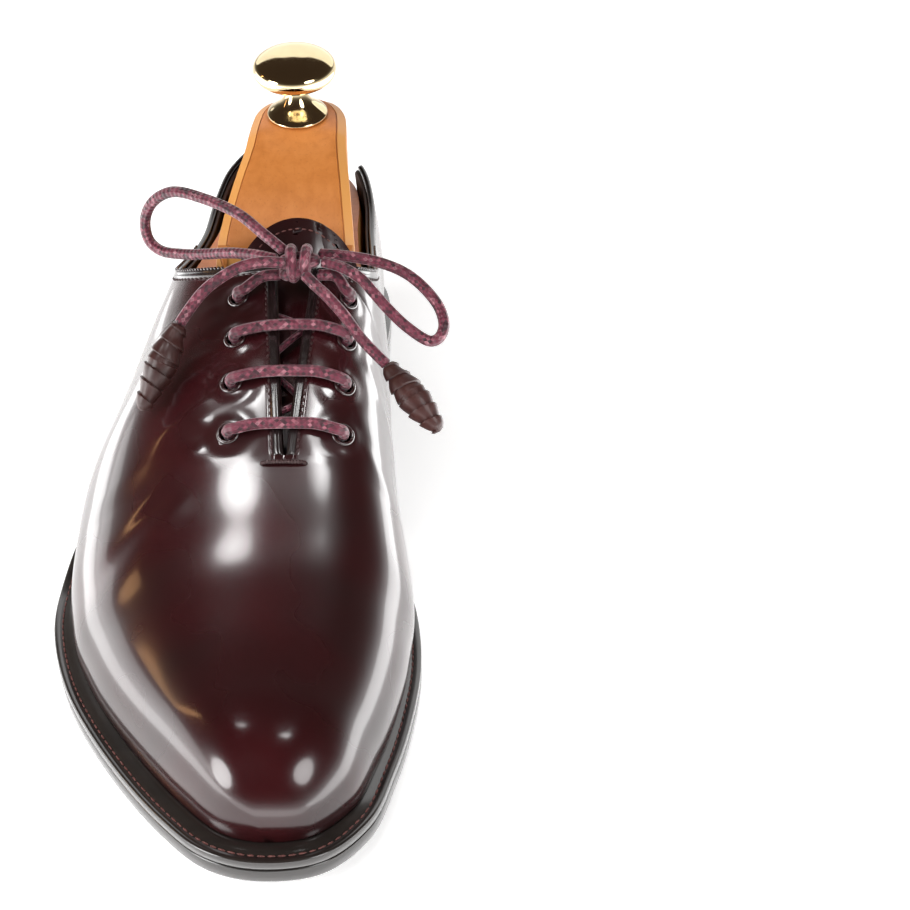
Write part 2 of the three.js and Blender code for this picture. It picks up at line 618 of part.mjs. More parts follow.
function buildForepart() {
  const tubeBore = solid(rod(treeTubeRadius + seat, onTreeAxis(tubeStart - seat), onTreeAxis(120), 16));
  const halfBay = tongueWidth / 2 + 6;
  const tongueBay = block(lacingX - halfBay, throatY - 8, 0, lacingX + halfBay, far, high)
    .subtract(lastSolid(tongueDepth + tongueThickness + 1));
  const body = treeFill(-150, foreEnd, high).subtract(tongueBay);
  const splitX = lacingX - 10;
  add('tree_forepart_inner', body.intersect(block(splitX + treeSlot / 2, -far, 0, far, far, high))
    .subtract(tubeBore), wood);
  add('tree_forepart_outer', body.intersect(block(-far, -far, 0, splitX - treeSlot / 2, far, high)), wood);
  const tube = solid(rod(treeTubeRadius, onTreeAxis(tubeStart), onTreeAxis(tubeEnd), 16))
    .subtract(solid(rod(treeRodRadius + 0.4, onTreeAxis(tubeStart + tubeFloor), onTreeAxis(120), 12)));
  add('tree_tube', tube, steel);
}

// Side view of the heel block: front shoulder, knob seat and back.
const blockSide = [[heelBlockFront, 36], [heelBlockFront, 80], [50, 88], [56, 95.2], [63, 101.6], [72, 107.6],
  [82, 112.2], [84, 112.9], [106, 115.8], [109.5, 112], [112, 104], [120, 92], [132, 84], [150, 70], [150, 36]];
// Its plan above the top line: wide behind the tongue and round under the knob.
function blockPlan() {
  const round = 16.5;
  const centre = [13.4, 92];
  const points = [[12 - 24, heelBlockFront - 2], [12 + 24, heelBlockFront - 2], [12.2 + 22.6, 52], [13.2 + 17.6, 78]];
  for (let k = 0; k <= 10; k++) {
    const a = Math.PI * k / 10;
    points.push([centre[0] + round * Math.cos(a), centre[1] + round * Math.sin(a)]);
  }
  points.push([13.2 - 17.6, 78], [12.2 - 22.6, 52]);
  return points;
}

function buildHeelBlock() {
  const side = crosswise(blockSide);
  const lower = treeFill(heelBlockFront, 150, 74).intersect(side);
  const raised = upright(blockPlan(), 60, high).intersect(side).intersect(lastSolid(treeDepth));
  const rodBore = solid(rod(treeRodRadius + seat, onTreeAxis(70), onTreeAxis(rodEnd), 12));
  const screwBore = solid(rod(2.5 + seat, flangeSeat.clone().addScaledVector(knobLean, -14),
    flangeSeat.clone().addScaledVector(knobLean, 5), 12));
  add('tree_heel_block', lower.add(raised).subtract(rodBore).subtract(screwBore), wood);
  const rodStart = tubeStart + tubeFloor + treeTravel + 1.5;
  add('tree_rod', solid(rod(treeRodRadius, onTreeAxis(rodStart), onTreeAxis(rodEnd - seat), 12)), steel);

  const profile = [[0, -13], [2.5, -13], [2.5, 0.3], [10.1, 0.3], [9.6, 1.6], [7.6, 3.2], [5.4, 5.2], [3.7, 7.8],
    [3.1, 9.6], [3.3, 11.2], [6.5, 12.1], [10.4, 13.4], [13.1, 15.2], [knobRadius, 17.4], [13.3, 19.6],
    [10.6, 21.6], [6.5, 22.9], [0, 23.4]];
  add('tree_knob', turned(profile, flangeSeat, knobLean, 16), brass);
}

// The coil spring around the rod, between the tube's end and the heel block.
function buildSpring() {
  const first = tubeEnd + seat + springWire;
  const last = (heelBlockFront - treeAxisStart.y) / treeDirection.y - seat - 2 * springWire;
  const radius = treeRodRadius + springWire + 1;
  const side = V(1, 0, 0).addScaledVector(treeDirection, -treeDirection.x).normalize();
  const up = treeDirection.clone().cross(side);
  const steps = springTurns * 6;
  const points = Array.from({ length: steps + 1 }, (_, k) => {
    const a = 2 * Math.PI * springTurns * k / steps;
    return onTreeAxis(first + (last - first) * k / steps)
      .addScaledVector(side, radius * Math.cos(a)).addScaledVector(up, radius * Math.sin(a));
  });
  add('tree_spring', cord(points, springWire, steps, 5), steel);
}

buildSole();
buildHeel();
buildUpper();
buildEyelets();
buildTongue();
buildLacing();
buildKnot();
buildBow();
buildForepart();
buildHeelBlock();
buildSpring();

export default shoe;
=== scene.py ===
# %% [markdown]
# An oxford shoe is a stack of layers round a last, which is the wooden form of a foot. This lesson rebuilds the
# looks of one right shoe round its CAD frame: the last's surface is written once as a formula, and the upper, the
# lining, the tongue and the shoe tree are all cut from it, so they fit each other as they do on a real shoe.

# %% Load the frame
import math

import bmesh
import bpy
import numpy as np
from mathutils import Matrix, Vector, geometry


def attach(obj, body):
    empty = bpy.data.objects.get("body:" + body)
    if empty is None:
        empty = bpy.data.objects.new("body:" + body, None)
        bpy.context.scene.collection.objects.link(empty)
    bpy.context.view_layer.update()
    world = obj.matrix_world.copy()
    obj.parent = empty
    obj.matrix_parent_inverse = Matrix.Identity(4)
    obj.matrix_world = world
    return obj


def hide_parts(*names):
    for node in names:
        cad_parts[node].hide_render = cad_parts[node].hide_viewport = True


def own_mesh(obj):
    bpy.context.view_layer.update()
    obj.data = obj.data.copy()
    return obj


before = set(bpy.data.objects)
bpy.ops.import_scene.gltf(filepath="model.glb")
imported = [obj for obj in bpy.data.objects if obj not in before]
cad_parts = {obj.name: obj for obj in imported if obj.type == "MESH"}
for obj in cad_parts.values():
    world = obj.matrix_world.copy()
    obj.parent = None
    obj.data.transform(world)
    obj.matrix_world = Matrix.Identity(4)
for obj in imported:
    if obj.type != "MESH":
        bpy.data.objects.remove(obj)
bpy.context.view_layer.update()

MM = 0.001               # sizes below are in millimetres, and meshes are in metres

# %% [markdown]
# The camera stands less than half a metre in front of the toe and looks down on the shoe, so the toe looks large
# and the heel small. It comes first, because the size of what shows decides where detail is worth making.

# %% Camera
CAMERA_PLACE = (67.62, -445.17, 356.56)
CAMERA_PITCH = 35.53     # degrees below level
camera_data = bpy.data.cameras.new("camera")
camera_data.sensor_width = 36
camera_data.lens = 67.25
camera = bpy.data.objects.new("camera", camera_data)
camera.location = Vector(CAMERA_PLACE) * MM
camera.rotation_euler = (math.radians(90 - CAMERA_PITCH), 0, 0)
bpy.context.collection.objects.link(camera)
bpy.context.scene.camera = camera

# %% [markdown]
# Shader maths is easier to read as an expression than as a list of nodes. This small class wraps a socket, and
# adds a Math node for each operator. A Finish wraps one material, with one method that adds any other node.

# %% Shader helpers
class Value:
    def __init__(self, finish, socket):
        self.finish = finish
        self.socket = socket

    def maths(self, operation, first, second):
        return self.finish.node("ShaderNodeMath", {"operation": operation}, {0: first, 1: second})

    def __add__(self, other):
        return self.maths("ADD", self, other)

    def __sub__(self, other):
        return self.maths("SUBTRACT", self, other)

    def __rsub__(self, other):
        return self.maths("SUBTRACT", other, self)

    def __mul__(self, other):
        return self.maths("MULTIPLY", self, other)

    def __truediv__(self, other):
        return self.maths("DIVIDE", self, other)

    __radd__ = __add__
    __rmul__ = __mul__


class Finish:
    """One material: a Principled shader and the nodes that feed it."""

    def __init__(self, name, **constants):
        self.material = bpy.data.materials.new(name)
        self.material.use_nodes = True
        self.tree = self.material.node_tree
        self.shader = self.tree.nodes["Principled BSDF"]
        for title, value in constants.items():
            self.shader.inputs[title.replace("_", " ")].default_value = value

    def node(self, kind, settings=None, inputs=None, output=0):
        made = self.tree.nodes.new(kind)
        for key, value in (settings or {}).items():
            if key == "stops":
                self.set_stops(made.color_ramp, value)
            else:
                setattr(made, key, value)
        for key, value in (inputs or {}).items():
            self.feed(made.inputs[key], value)
        return Value(self, made.outputs[output])

    def set_stops(self, ramp, stops):
        while len(ramp.elements) < len(stops):
            ramp.elements.new(0.5)
        for element, (place, color) in zip(ramp.elements, stops):
            element.position = place
            element.color = (*color, 1)

    def feed(self, socket, value):
        if isinstance(value, Value):
            self.tree.links.new(value.socket, socket)
        else:
            socket.default_value = value

    def set(self, **inputs):
        for title, value in inputs.items():
            self.feed(self.shader.inputs[title.replace("_", " ")], value)
        return self

    def place(self, scale=(1, 1, 1), turn=(0, 0, 0)):
        here = self.node("ShaderNodeTexCoord", output="Object")
        return self.node("ShaderNodeMapping", inputs={"Vector": here, "Scale": scale, "Rotation": turn})

    def noise(self, scale, detail=3, rough=0.5, where=None, **more):
        inputs = {"Vector": where or self.place(), "Scale": scale, "Detail": detail, "Roughness": rough, **more}
        return self.node("ShaderNodeTexNoise", inputs=inputs)

    def attribute(self, name):
        return self.node("ShaderNodeAttribute", {"attribute_name": name}, output="Fac")

    def ramp(self, value, stops):
        return self.node("ShaderNodeValToRGB", {"stops": stops}, {"Fac": value})

    def remap(self, value, low, high, to_low=0, to_high=1):
        return self.node("ShaderNodeMapRange", {"interpolation_type": "SMOOTHSTEP"},
                         {0: value, 1: low, 2: high, 3: to_low, 4: to_high})

    def blend(self, share, first, second):
        return self.node("ShaderNodeMix", {"data_type": "RGBA"}, {0: share, 6: first, 7: second}, output=2)

    def bump(self, height, distance, strength=1.0, under=None):
        inputs = {"Height": height, "Distance": distance, "Strength": strength}
        if under:
            inputs["Normal"] = under
        return self.node("ShaderNodeBump", inputs=inputs)


def color(red, green, blue):
    return (red, green, blue, 1)


# %% [markdown]
# Shoe leather like this is dyed through, burnished darker at its edges and polished until it mirrors the room.
# One Principled shader with a clear coat gives the two layers of gloss: the soft leather and the wax on it.
# The grain is very fine pores, and a slow noise varies the polish. The attribute "edge" holds the distance to
# the cut edge in millimetres, so that the folded binding comes out darker.

# %% Leather finishes
def make_upper_leather():
    leather = Finish("oxblood_calf", Coat_Weight=0.85, Coat_Roughness=0.11, Coat_IOR=1.55, IOR=1.45)
    cloud = leather.noise(28, detail=2)
    tint = leather.ramp(cloud, [(0.3, (0.012, 0.0022, 0.0026)), (0.55, (0.023, 0.0030, 0.0040)),
                                (0.75, (0.036, 0.0045, 0.0060))])
    edge = leather.remap(leather.attribute("edge"), 2.3, 3.0)
    base = leather.blend(edge, color(0.008, 0.004, 0.004), tint)
    pores = leather.noise(2600, detail=2, rough=0.6)
    creases = leather.noise(420, detail=3, rough=0.6)
    normal = leather.bump(pores, 0.00005, 0.30, under=leather.bump(creases, 0.0001, 0.07))
    leather.set(Base_Color=base, Roughness=leather.remap(cloud, 0.2, 0.8, 0.34, 0.22), Normal=normal)
    return leather.material


def make_plain_leather(name, dark, light, roughness, grain=1500, coat=0.0):
    leather = Finish(name, Coat_Weight=coat, Coat_Roughness=0.12)
    cloud = leather.noise(60, detail=4)
    grain_height = leather.noise(grain, detail=3, rough=0.6)
    leather.set(Base_Color=leather.ramp(cloud, [(0.3, dark), (0.7, light)]), Roughness=roughness,
                Normal=leather.bump(grain_height, 0.0001, 0.4))
    return leather.material


def make_sole_edge():
    """Leather on edge, waxed: thin lines run along the layers."""
    edge = Finish("waxed_sole_edge", Coat_Weight=1.0, Coat_Roughness=0.13, Coat_IOR=1.7)
    layers = edge.noise(90, detail=3, where=edge.place(scale=(0.25, 0.25, 9)))
    base = edge.ramp(layers, [(0.35, (0.010, 0.008, 0.007)), (0.7, (0.026, 0.020, 0.018))])
    edge.set(Base_Color=base, Roughness=edge.remap(layers, 0.3, 0.7, 0.38, 0.28),
             Normal=edge.bump(layers, 0.0001, 0.35))
    return edge.material


LEATHER = make_upper_leather()
LINING = make_plain_leather("collar_lining", (0.020, 0.010, 0.007), (0.045, 0.022, 0.015), 0.5)
WRAP = make_plain_leather("wound_strip", (0.022, 0.006, 0.005), (0.055, 0.014, 0.011), 0.45, coat=0.15)
SOLE_EDGE = make_sole_edge()
BARE_LEATHER = make_plain_leather("bare_sole_leather", (0.20, 0.11, 0.055), (0.33, 0.20, 0.11), 0.55)

# %% [markdown]
# The tree's wood is varnished beech: fine straight grain that runs up the block, with short darker flecks. The
# knob is turned brass, lightly lacquered. Rubber, steel, cork, thread and the eyelets' enamel are simple.

# %% Wood, metal and the rest
def make_wood():
    wood = Finish("varnished_beech", Coat_Weight=0.12, Coat_Roughness=0.3)
    along = wood.place(scale=(1, 1, 0.12))
    grain = wood.noise(260, detail=4, rough=0.55, where=along, Distortion=0.4)
    flecks = wood.noise(1500, detail=1, where=wood.place(scale=(1, 1, 0.16)))
    base = wood.ramp(grain, [(0.28, (0.50, 0.165, 0.034)), (0.5, (0.56, 0.195, 0.044)), (0.75, (0.61, 0.225, 0.056))])
    base = wood.blend(wood.remap(flecks, 0.62, 0.74, 0, 0.30), base, color(0.36, 0.12, 0.025))
    # Painted light: the post's chamfer is painted lighter as if lit, and its fine groove is painted darker as shade.
    trim = wood.attribute("trim")
    base = wood.blend(wood.remap(trim, 0.1, 0.9), base, color(0.68, 0.31, 0.085))
    base = wood.blend(wood.remap(trim, -0.9, -0.1, 0.55, 0), base, color(0.25, 0.08, 0.015))
    wood.set(Base_Color=base, Roughness=0.42, Normal=wood.bump(grain, 0.00006, 0.2))
    return wood.material


def make_metal(name, tone, roughness):
    metal = Finish(name, Metallic=1.0)
    smudge = metal.noise(160, detail=3)
    tarnish = tuple(0.93 * part for part in tone)
    metal.set(Base_Color=metal.ramp(smudge, [(0.35, tone), (0.75, tarnish)]),
              Roughness=metal.remap(smudge, 0.3, 0.8, roughness, roughness + 0.08))
    return metal.material


def make_cork():
    cork = Finish("pressed_cork")
    grains = cork.node("ShaderNodeTexVoronoi", inputs={"Vector": cork.place(), "Scale": 500}, output="Color")
    cork.set(Base_Color=cork.ramp(grains, [(0.2, (0.22, 0.12, 0.05)), (0.8, (0.45, 0.28, 0.14))]), Roughness=0.9)
    return cork.material


def make_rubber():
    rubber = Finish("heel_rubber")
    speckle = rubber.noise(900, detail=3)
    rubber.set(Base_Color=rubber.ramp(speckle, [(0.3, (0.010, 0.010, 0.010)), (0.7, (0.022, 0.021, 0.020))]),
               Roughness=0.7, Normal=rubber.bump(speckle, 0.0001, 0.4))
    return rubber.material


def make_thread(name, tone):
    thread = Finish(name)
    strands = thread.noise(2400, detail=2)
    lighter = tuple(min(1, 2.2 * part) for part in tone)
    thread.set(Base_Color=thread.ramp(strands, [(0.3, tone), (0.7, lighter)]), Roughness=0.55)
    return thread.material


WOOD = make_wood()
BRASS = make_metal("turned_brass", (0.86, 0.70, 0.42), 0.06)
STEEL = make_metal("plain_steel", (0.60, 0.61, 0.62), 0.25)
CORK = make_cork()
RUBBER = make_rubber()
SEAM_THREAD = make_thread("seam_thread", (0.020, 0.008, 0.008))
WELT_THREAD = make_thread("welt_thread", (0.10, 0.040, 0.035))
enamel = Finish("eyelet_enamel", Coat_Weight=1.0, Coat_Roughness=0.04, IOR=1.6)
enamel_cloud = enamel.noise(900, detail=2)
enamel.set(Base_Color=enamel.ramp(enamel_cloud, [(0.3, (0.016, 0.006, 0.006)), (0.7, (0.030, 0.010, 0.010))]),
           Roughness=0.25)
ENAMEL = enamel.material

# %% [markdown]
# The lace is a round braid: strands wind both ways round it and pass over and under each other. Its mesh tube
# carries two numbers, the distance along the cord and the turn round it, so the braid follows each bend. Two
# waves that cross give the diamonds, and a cell noise picks single stitches out as pink or dark flecks. The dips
# between the strands get painted shade.

# %% Lace finish
BRAID_PITCH = 13.0       # length of one turn of a strand, in millimetres
BRAID_STRANDS = 8        # strands that wind each way


def make_lace():
    lace = Finish("waxed_braid", Sheen_Weight=0.25)
    cord_map = lace.node("ShaderNodeUVMap", {"uv_map": "cord"})
    along = lace.node("ShaderNodeSeparateXYZ", inputs={0: cord_map}, output="X")
    turn = lace.node("ShaderNodeSeparateXYZ", inputs={0: cord_map}, output="Y")
    right = (along / BRAID_PITCH + turn) * BRAID_STRANDS
    left = (along / BRAID_PITCH - turn) * BRAID_STRANDS
    wave = [lace.node("ShaderNodeMath", {"operation": "SINE"}, {0: part * math.pi}) for part in (right, left)]
    weave = wave[0] * wave[1]
    cell = [lace.node("ShaderNodeMath", {"operation": "FLOOR"}, {0: part}) for part in (right, left)]
    spot = lace.node("ShaderNodeCombineXYZ", inputs={0: cell[0] * 0.731, 1: cell[1] * 0.417, 2: 0.5})
    pick = lace.node("ShaderNodeTexWhiteNoise", inputs={"Vector": spot}, output="Value")
    base = lace.ramp(pick, [(0.0, (0.028, 0.005, 0.010)), (0.14, (0.045, 0.008, 0.015)), (0.2, (0.100, 0.011, 0.026)),
                            (0.66, (0.140, 0.017, 0.038)), (0.84, (0.20, 0.038, 0.064)), (1.0, (0.36, 0.15, 0.18))])
    # Painted shade: where the weave dips between the strands, the colour is blended towards near black.
    shade = lace.remap(weave, -0.9, 0.5, 0.45, 1.0)
    base = lace.blend(shade, color(0.020, 0.004, 0.008), base)
    lace.set(Base_Color=base, Roughness=0.48, Normal=lace.bump(weave, 0.00018, 0.8))
    return lace.material


LACE = make_lace()

# %% [markdown]
# Everything on a shoe follows the last. Its surface is a formula: a station along the foot, and a turn that runs
# from the outer sole edge over the ridge to the inner sole edge. The tables give the shape a few readable
# numbers per station, and smooth curves join them.

# %% Curves
def stations(table):
    """A smooth function through given (place, value) stations."""
    places, values = np.array(table, float).T
    last = len(places) - 1
    ends = [(max(k - 1, 0), min(k + 1, last)) for k in range(last + 1)]
    slopes = np.array([(values[b] - values[a]) / (places[b] - places[a]) for a, b in ends])

    def value(place):
        place = np.clip(np.asarray(place, float), places[0], places[-1])
        k = np.clip(np.searchsorted(places, place, side="right") - 1, 0, last - 1)
        width = places[k + 1] - places[k]
        t = (place - places[k]) / width
        return (values[k] * (1 + 2 * t) * (1 - t) ** 2 + slopes[k] * width * t * (1 - t) ** 2
                + values[k + 1] * t * t * (3 - 2 * t) + slopes[k + 1] * width * t * t * (t - 1))
    return value


def curve_through(points, closed=False, per_span=24):
    """A centripetal Catmull-Rom curve, which passes through its points without loops or overshoot."""
    points = np.array(points, float)
    count = len(points)
    parts = []
    for k in range(count if closed else count - 1):
        b, c = points[k], points[(k + 1) % count]
        a = points[k - 1] if closed or k > 0 else 2 * b - c
        d = points[(k + 2) % count] if closed or k + 2 < count else 2 * c - b
        before, here, after = (max(np.linalg.norm(q - p) ** 0.5, 1e-3) for p, q in ((a, b), (b, c), (c, d)))
        leave = ((b - a) / before - (c - a) / (before + here) + (c - b) / here) * here
        arrive = ((c - b) / here - (d - b) / (here + after) + (d - c) / after) * here
        t = np.arange(per_span)[:, None] / per_span
        parts.append((2 * t ** 3 - 3 * t ** 2 + 1) * b + (t ** 3 - 2 * t ** 2 + t) * leave
                     + (3 * t ** 2 - 2 * t ** 3) * c + (t ** 3 - t ** 2) * arrive)
    if not closed:
        parts.append(points[-1:])
    return np.concatenate(parts)


def lengths_along(points):
    return np.concatenate([[0], np.cumsum(np.linalg.norm(np.diff(points, axis=0), axis=1))])


def spaced(points, count):
    """The same line with count evenly spaced points."""
    along = lengths_along(points)
    wanted = np.linspace(0, along[-1], count)
    return np.stack([np.interp(wanted, along, points[:, k]) for k in range(points.shape[1])], axis=1)


def smooth_step(value):
    value = np.clip(value, 0, 1)
    return value ** 2 * (3 - 2 * value)


# %% The sole's outline and the heights above ground
SOLE_THICKNESS = 5
WELT_THICKNESS = 3
HEEL_HEIGHT = 22
TOE_SPRING = 9
BALL_Y, RISE_START, RISE_END, HEEL_BREAST_Y = -60, -35, 64, 77
SEAT = 0.3
SOLE_OUTLINE = [
    (16.6, -150), (2.4, -145.5), (-12, -131.5), (-33.2, -102), (-48, -75), (-56, -50), (-57.5, -30), (-55, -8),
    (-47, 14), (-38, 38), (-30, 60), (-25, 84), (-23.5, 108), (-19.5, 127), (-8, 143.5), (10, 150),
    (28, 143.5), (39.5, 127), (43.5, 108), (43, 84), (41, 60), (41, 38), (43.5, 12), (49, -14), (55.5, -40),
    (57.5, -65), (55, -91), (51, -112), (45, -133), (33, -147),
]
closed_sole = curve_through(SOLE_OUTLINE, closed=True)
sole_line = spaced(np.vstack([closed_sole, closed_sole[:1]]), 901)[:-1]
outer_margin = stations([(-150, 7.5), (-120, 7.5), (-80, 6.5), (-20, 6.5), (40, 4), (90, 3), (149, 3)])
inner_margin = stations([(-150, 7.5), (-125, 5.5), (-80, 4), (-20, 4), (40, 4), (90, 3), (149, 3)])


class Edge:
    """The sole's outline moved inwards: where its outer and inner side stand at each y."""

    def __init__(self, margin):
        ahead = np.roll(sole_line, -1, axis=0) - np.roll(sole_line, 1, axis=0)
        ahead /= np.linalg.norm(ahead, axis=1)[:, None]
        move = margin(sole_line[:, 1], (1 - ahead[:, 1]) / 2)
        moved = sole_line + np.stack([ahead[:, 1], -ahead[:, 0]], axis=1) * move[:, None]
        toe, heel = moved[:, 1].argmin(), moved[:, 1].argmax()
        turned = np.roll(moved, -toe, axis=0)
        heel = (heel - toe) % len(moved)
        self.outer, self.inner = turned[:heel + 1], np.vstack([turned[heel:], turned[:1]])[::-1]
        self.low, self.high = turned[0, 1], turned[heel, 1]

    def at(self, y):
        return tuple(np.interp(y, side[:, 1], side[:, 0]) for side in (self.outer, self.inner))


def sole_edge(inset=0.0, share=0.0):
    """The outline moved in by inset, and by a share of the welt's width, which differs on the two sides."""
    return Edge(lambda y, inner: inset + share * (outer_margin(y) * (1 - inner) + inner_margin(y) * inner))


feather = sole_edge(share=1.0)
sole_low = sole_line[:, 1].min()


def under(y):
    """Height of the outsole's underside."""
    toe = TOE_SPRING * np.clip((BALL_Y - y) / (BALL_Y - sole_low), 0, 1) ** 1.7
    return toe + HEEL_HEIGHT * smooth_step((np.asarray(y) - RISE_START) / (RISE_END - RISE_START))


def feather_z(y):
    return under(y) + SOLE_THICKNESS + WELT_THICKNESS


print("sole length", round(float(np.ptp(sole_line[:, 1])), 1), "width", round(float(np.ptp(sole_line[:, 0])), 1))

# %% The last's surface
LACING_X = 17.3
ridge_x = stations([(feather.low, 16.8), (-60, 17), (0, LACING_X), (26, 16.5), (60, 12), (90, 9.5), (146, 10)])
ridge_z = stations([(-142, 41), (-120, 42), (-100, 44), (-80, 48.5), (-60, 55), (-40, 64.5), (-31, 70.5), (-16, 79),
                    (-1, 86), (14, 92.5), (24, 97.5), (40, 110), (60, 126), (90, 138), (146, 142)])
outer_curve = stations([(-142, 0.8), (-100, 0.85), (-60, 0.95), (-30, 1), (15, 1.15), (45, 1.4), (90, 1.5),
                        (146, 1.5)])
outer_tuck = stations([(-142, 0.5), (-60, 1.5), (-30, 2.5), (15, 5.5), (45, 7), (90, 2.5), (146, 2)])
inner_curve = stations([(-142, 0.8), (-100, 0.7), (-60, 0.62), (-30, 0.58), (15, 0.54), (45, 0.6), (90, 1.5),
                        (146, 1.5)])
inner_tuck = stations([(-142, 0.5), (-100, 1.5), (-60, 3), (-30, 4), (15, 9), (45, 9), (90, 2.5), (146, 2)])
TUCK_HEIGHT = 0.4
TOE_CLOSURE = 32         # how far behind the toe its rounding starts
TOE_SQUARENESS = 2.5     # 2 is a round toe in side view, and more is squarer
LEAN_START_Y = 95
heel_lean = stations([(30, 0), (45, 2), (60, 1), (75, -3), (87, -8), (120, -24), (150, -38)])


def last_point(y, turn):
    """Points of the last: turn 0 is the outer sole edge, 0.5 the ridge and 1 the inner sole edge."""
    y, turn = np.broadcast_arrays(np.asarray(y, float), np.asarray(turn, float))
    rise, run = np.sin(math.pi * turn), np.abs(np.cos(math.pi * turn))
    outer = turn < 0.5
    x_outer, x_inner = feather.at(y)
    middle = np.clip(ridge_x(y), x_outer, x_inner)
    width = np.where(outer, middle - x_outer, x_inner - middle)
    tuck = np.where(outer, outer_tuck(y), inner_tuck(y)) * np.minimum(1, width / 18)
    bend = np.where(outer, outer_curve(y), inner_curve(y))
    reach = (width + tuck) * run ** bend - tuck * np.clip(1 - rise / TUCK_HEIGHT, 0, None) ** 2
    end = np.clip((feather.low + TOE_CLOSURE - y) / TOE_CLOSURE, 0, 1)
    height = (ridge_z(y) - feather_z(y) - SEAT) * np.clip(1 - end ** TOE_SQUARENESS, 0, 1) ** (1 / TOE_SQUARENESS)
    z = feather_z(y) + SEAT + height * rise
    lean = heel_lean(z) * smooth_step((y - LEAN_START_Y) / (feather.high - LEAN_START_Y))
    return np.stack([middle + np.where(outer, -1, 1) * reach, y + lean, z], axis=-1)


def last_normal(y, turn):
    """Which way the surface faces."""
    step_y, step_turn = 0.6, 0.004
    low, high = np.maximum(y - step_y, feather.low), np.minimum(y + step_y, feather.high)
    along = last_point(high, turn) - last_point(low, turn)
    across = last_point(y, np.minimum(turn + step_turn, 1)) - last_point(y, np.maximum(turn - step_turn, 0))
    normal = np.cross(across, along)
    size = np.linalg.norm(normal, axis=-1, keepdims=True)
    return np.where(size > 1e-9, normal / np.maximum(size, 1e-9), np.array([0, -1.0, 0.25]))


def turn_above(x, y):
    """The turn whose point stands above plan place (x, y), found by halving."""
    x, y = np.broadcast_arrays(np.asarray(x, float), np.asarray(y, float))
    outer = x < ridge_x(y)
    low, high = np.where(outer, 0.15, 0.85), np.full(x.shape, 0.5)
    for _ in range(36):
        middle = (low + high) / 2
        inside = outer == (last_point(y, middle)[..., 0] > x)
        high = np.where(inside, middle, high)
        low = np.where(inside, low, middle)
    return (low + high) / 2


def on_last(x, y, lift=0.0):
    turn = turn_above(x, y)
    normal = last_normal(np.asarray(y, float) + 0 * turn, turn)
    return last_point(y, turn) + normal * lift, normal


# %% [markdown]
# Pieces are made as plain meshes. These helpers turn rows of points into a closed skin, sweep a tube along a
# curve, turn a profile round an axis, and give each finished piece its body and CAD nodes.

# %% Mesh helpers
def plain_mesh(name, points, faces, merge=1e-3, attributes=None, corners=None):
    """A mesh object from points in millimetres, with its doubles merged and its faces turned outwards."""
    data = bpy.data.meshes.new(name)
    data.from_pydata((np.asarray(points, float) * MM).tolist(), [], [list(map(int, face)) for face in faces])
    for title, values in (attributes or {}).items():
        data.attributes.new(title, "FLOAT", "POINT").data.foreach_set("value", np.asarray(values, np.float32))
    if corners is not None:
        data.uv_layers.new(name="cord").data.foreach_set("uv", np.asarray(corners, np.float32).ravel())
    shape = bmesh.new()
    shape.from_mesh(data)
    bmesh.ops.remove_doubles(shape, verts=shape.verts, dist=merge * MM)
    bmesh.ops.dissolve_degenerate(shape, edges=shape.edges, dist=1e-8)
    bmesh.ops.recalc_face_normals(shape, faces=shape.faces)
    shape.to_mesh(data)
    shape.free()
    made = bpy.data.objects.new(name, data)
    bpy.context.collection.objects.link(made)
    return made


def shade_faces(data, smooth):
    for face in data.polygons:
        face.use_smooth = smooth


def finish_piece(name, points, faces, material, body="shoe", slot=None, replaces=(), merge=1e-4, smooth=True,
                 **more):
    """A piece of the model: a mesh with its material, body and the CAD nodes that it stands for. Its slot is not used.
    """
    made = plain_mesh(name, points, faces, merge, **more)
    made.data.materials.append(material)
    shade_faces(made.data, smooth)
    return settle(made, body, replaces)


def settle(made, body, replaces=()):
    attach(made, body)
    if replaces:
        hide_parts(*replaces)
    return made


def grid_faces(rows, columns, closed_rows=False, closed_columns=False):
    faces = []
    for i in range(rows if closed_rows else rows - 1):
        for j in range(columns if closed_columns else columns - 1):
            a, b = i * columns + j, i * columns + (j + 1) % columns
            c, d = ((i + 1) % rows) * columns + (j + 1) % columns, ((i + 1) % rows) * columns + j
            faces.append((a, b, c, d))
    return faces


def frames_along(path):
    """Two directions square to a path that turn with it as little as possible."""
    ahead = np.gradient(path, axis=0)
    ahead /= np.linalg.norm(ahead, axis=1)[:, None]
    first = np.cross(ahead[0], [0.3, 0.1, 1.0])
    sides = [first / np.linalg.norm(first)]
    for direction in ahead[1:]:
        side = sides[-1] - direction * np.dot(sides[-1], direction)
        sides.append(side / np.linalg.norm(side))
    sides = np.array(sides)
    return ahead, sides, np.cross(ahead, sides)


def tube(name, path, radius, material, sides=20, closed=False, **more):
    """A cord or rod along a path. Its UV map "cord" holds the distance along it and the turn round it."""
    ahead, side, up = frames_along(path)
    angle = np.arange(sides) * 2 * math.pi / sides
    ring = np.cos(angle)[None, :, None] * side[:, None] + np.sin(angle)[None, :, None] * up[:, None]
    points = path[:, None] + ring * (np.ones((len(path), sides)) * radius)[..., None]
    faces = grid_faces(len(path), sides, closed_rows=closed, closed_columns=True)
    along = lengths_along(np.vstack([path, path[:1]]))
    turns = [(i, j) for i in range(len(path) if closed else len(path) - 1) for j in range(sides)]
    corners = [(along[i + a], (j + b) / sides) for i, j in turns for a, b in ((0, 0), (0, 1), (1, 1), (1, 0))]
    points = points.reshape(-1, 3)
    if not closed:
        dome = 0.5 * float(np.min(radius))
        points = np.vstack([points, path[:1] - ahead[:1] * dome, path[-1:] + ahead[-1:] * dome])
        for row, tip in ((0, len(points) - 2), (len(path) - 1, len(points) - 1)):
            for j in range(sides):
                faces.append((row * sides + j, row * sides + (j + 1) % sides, tip))
                corners += [(along[row], j / sides), (along[row], (j + 1) / sides), (along[row], (j + 0.5) / sides)]
    return finish_piece(name, points, faces, material, corners=corners, **more)


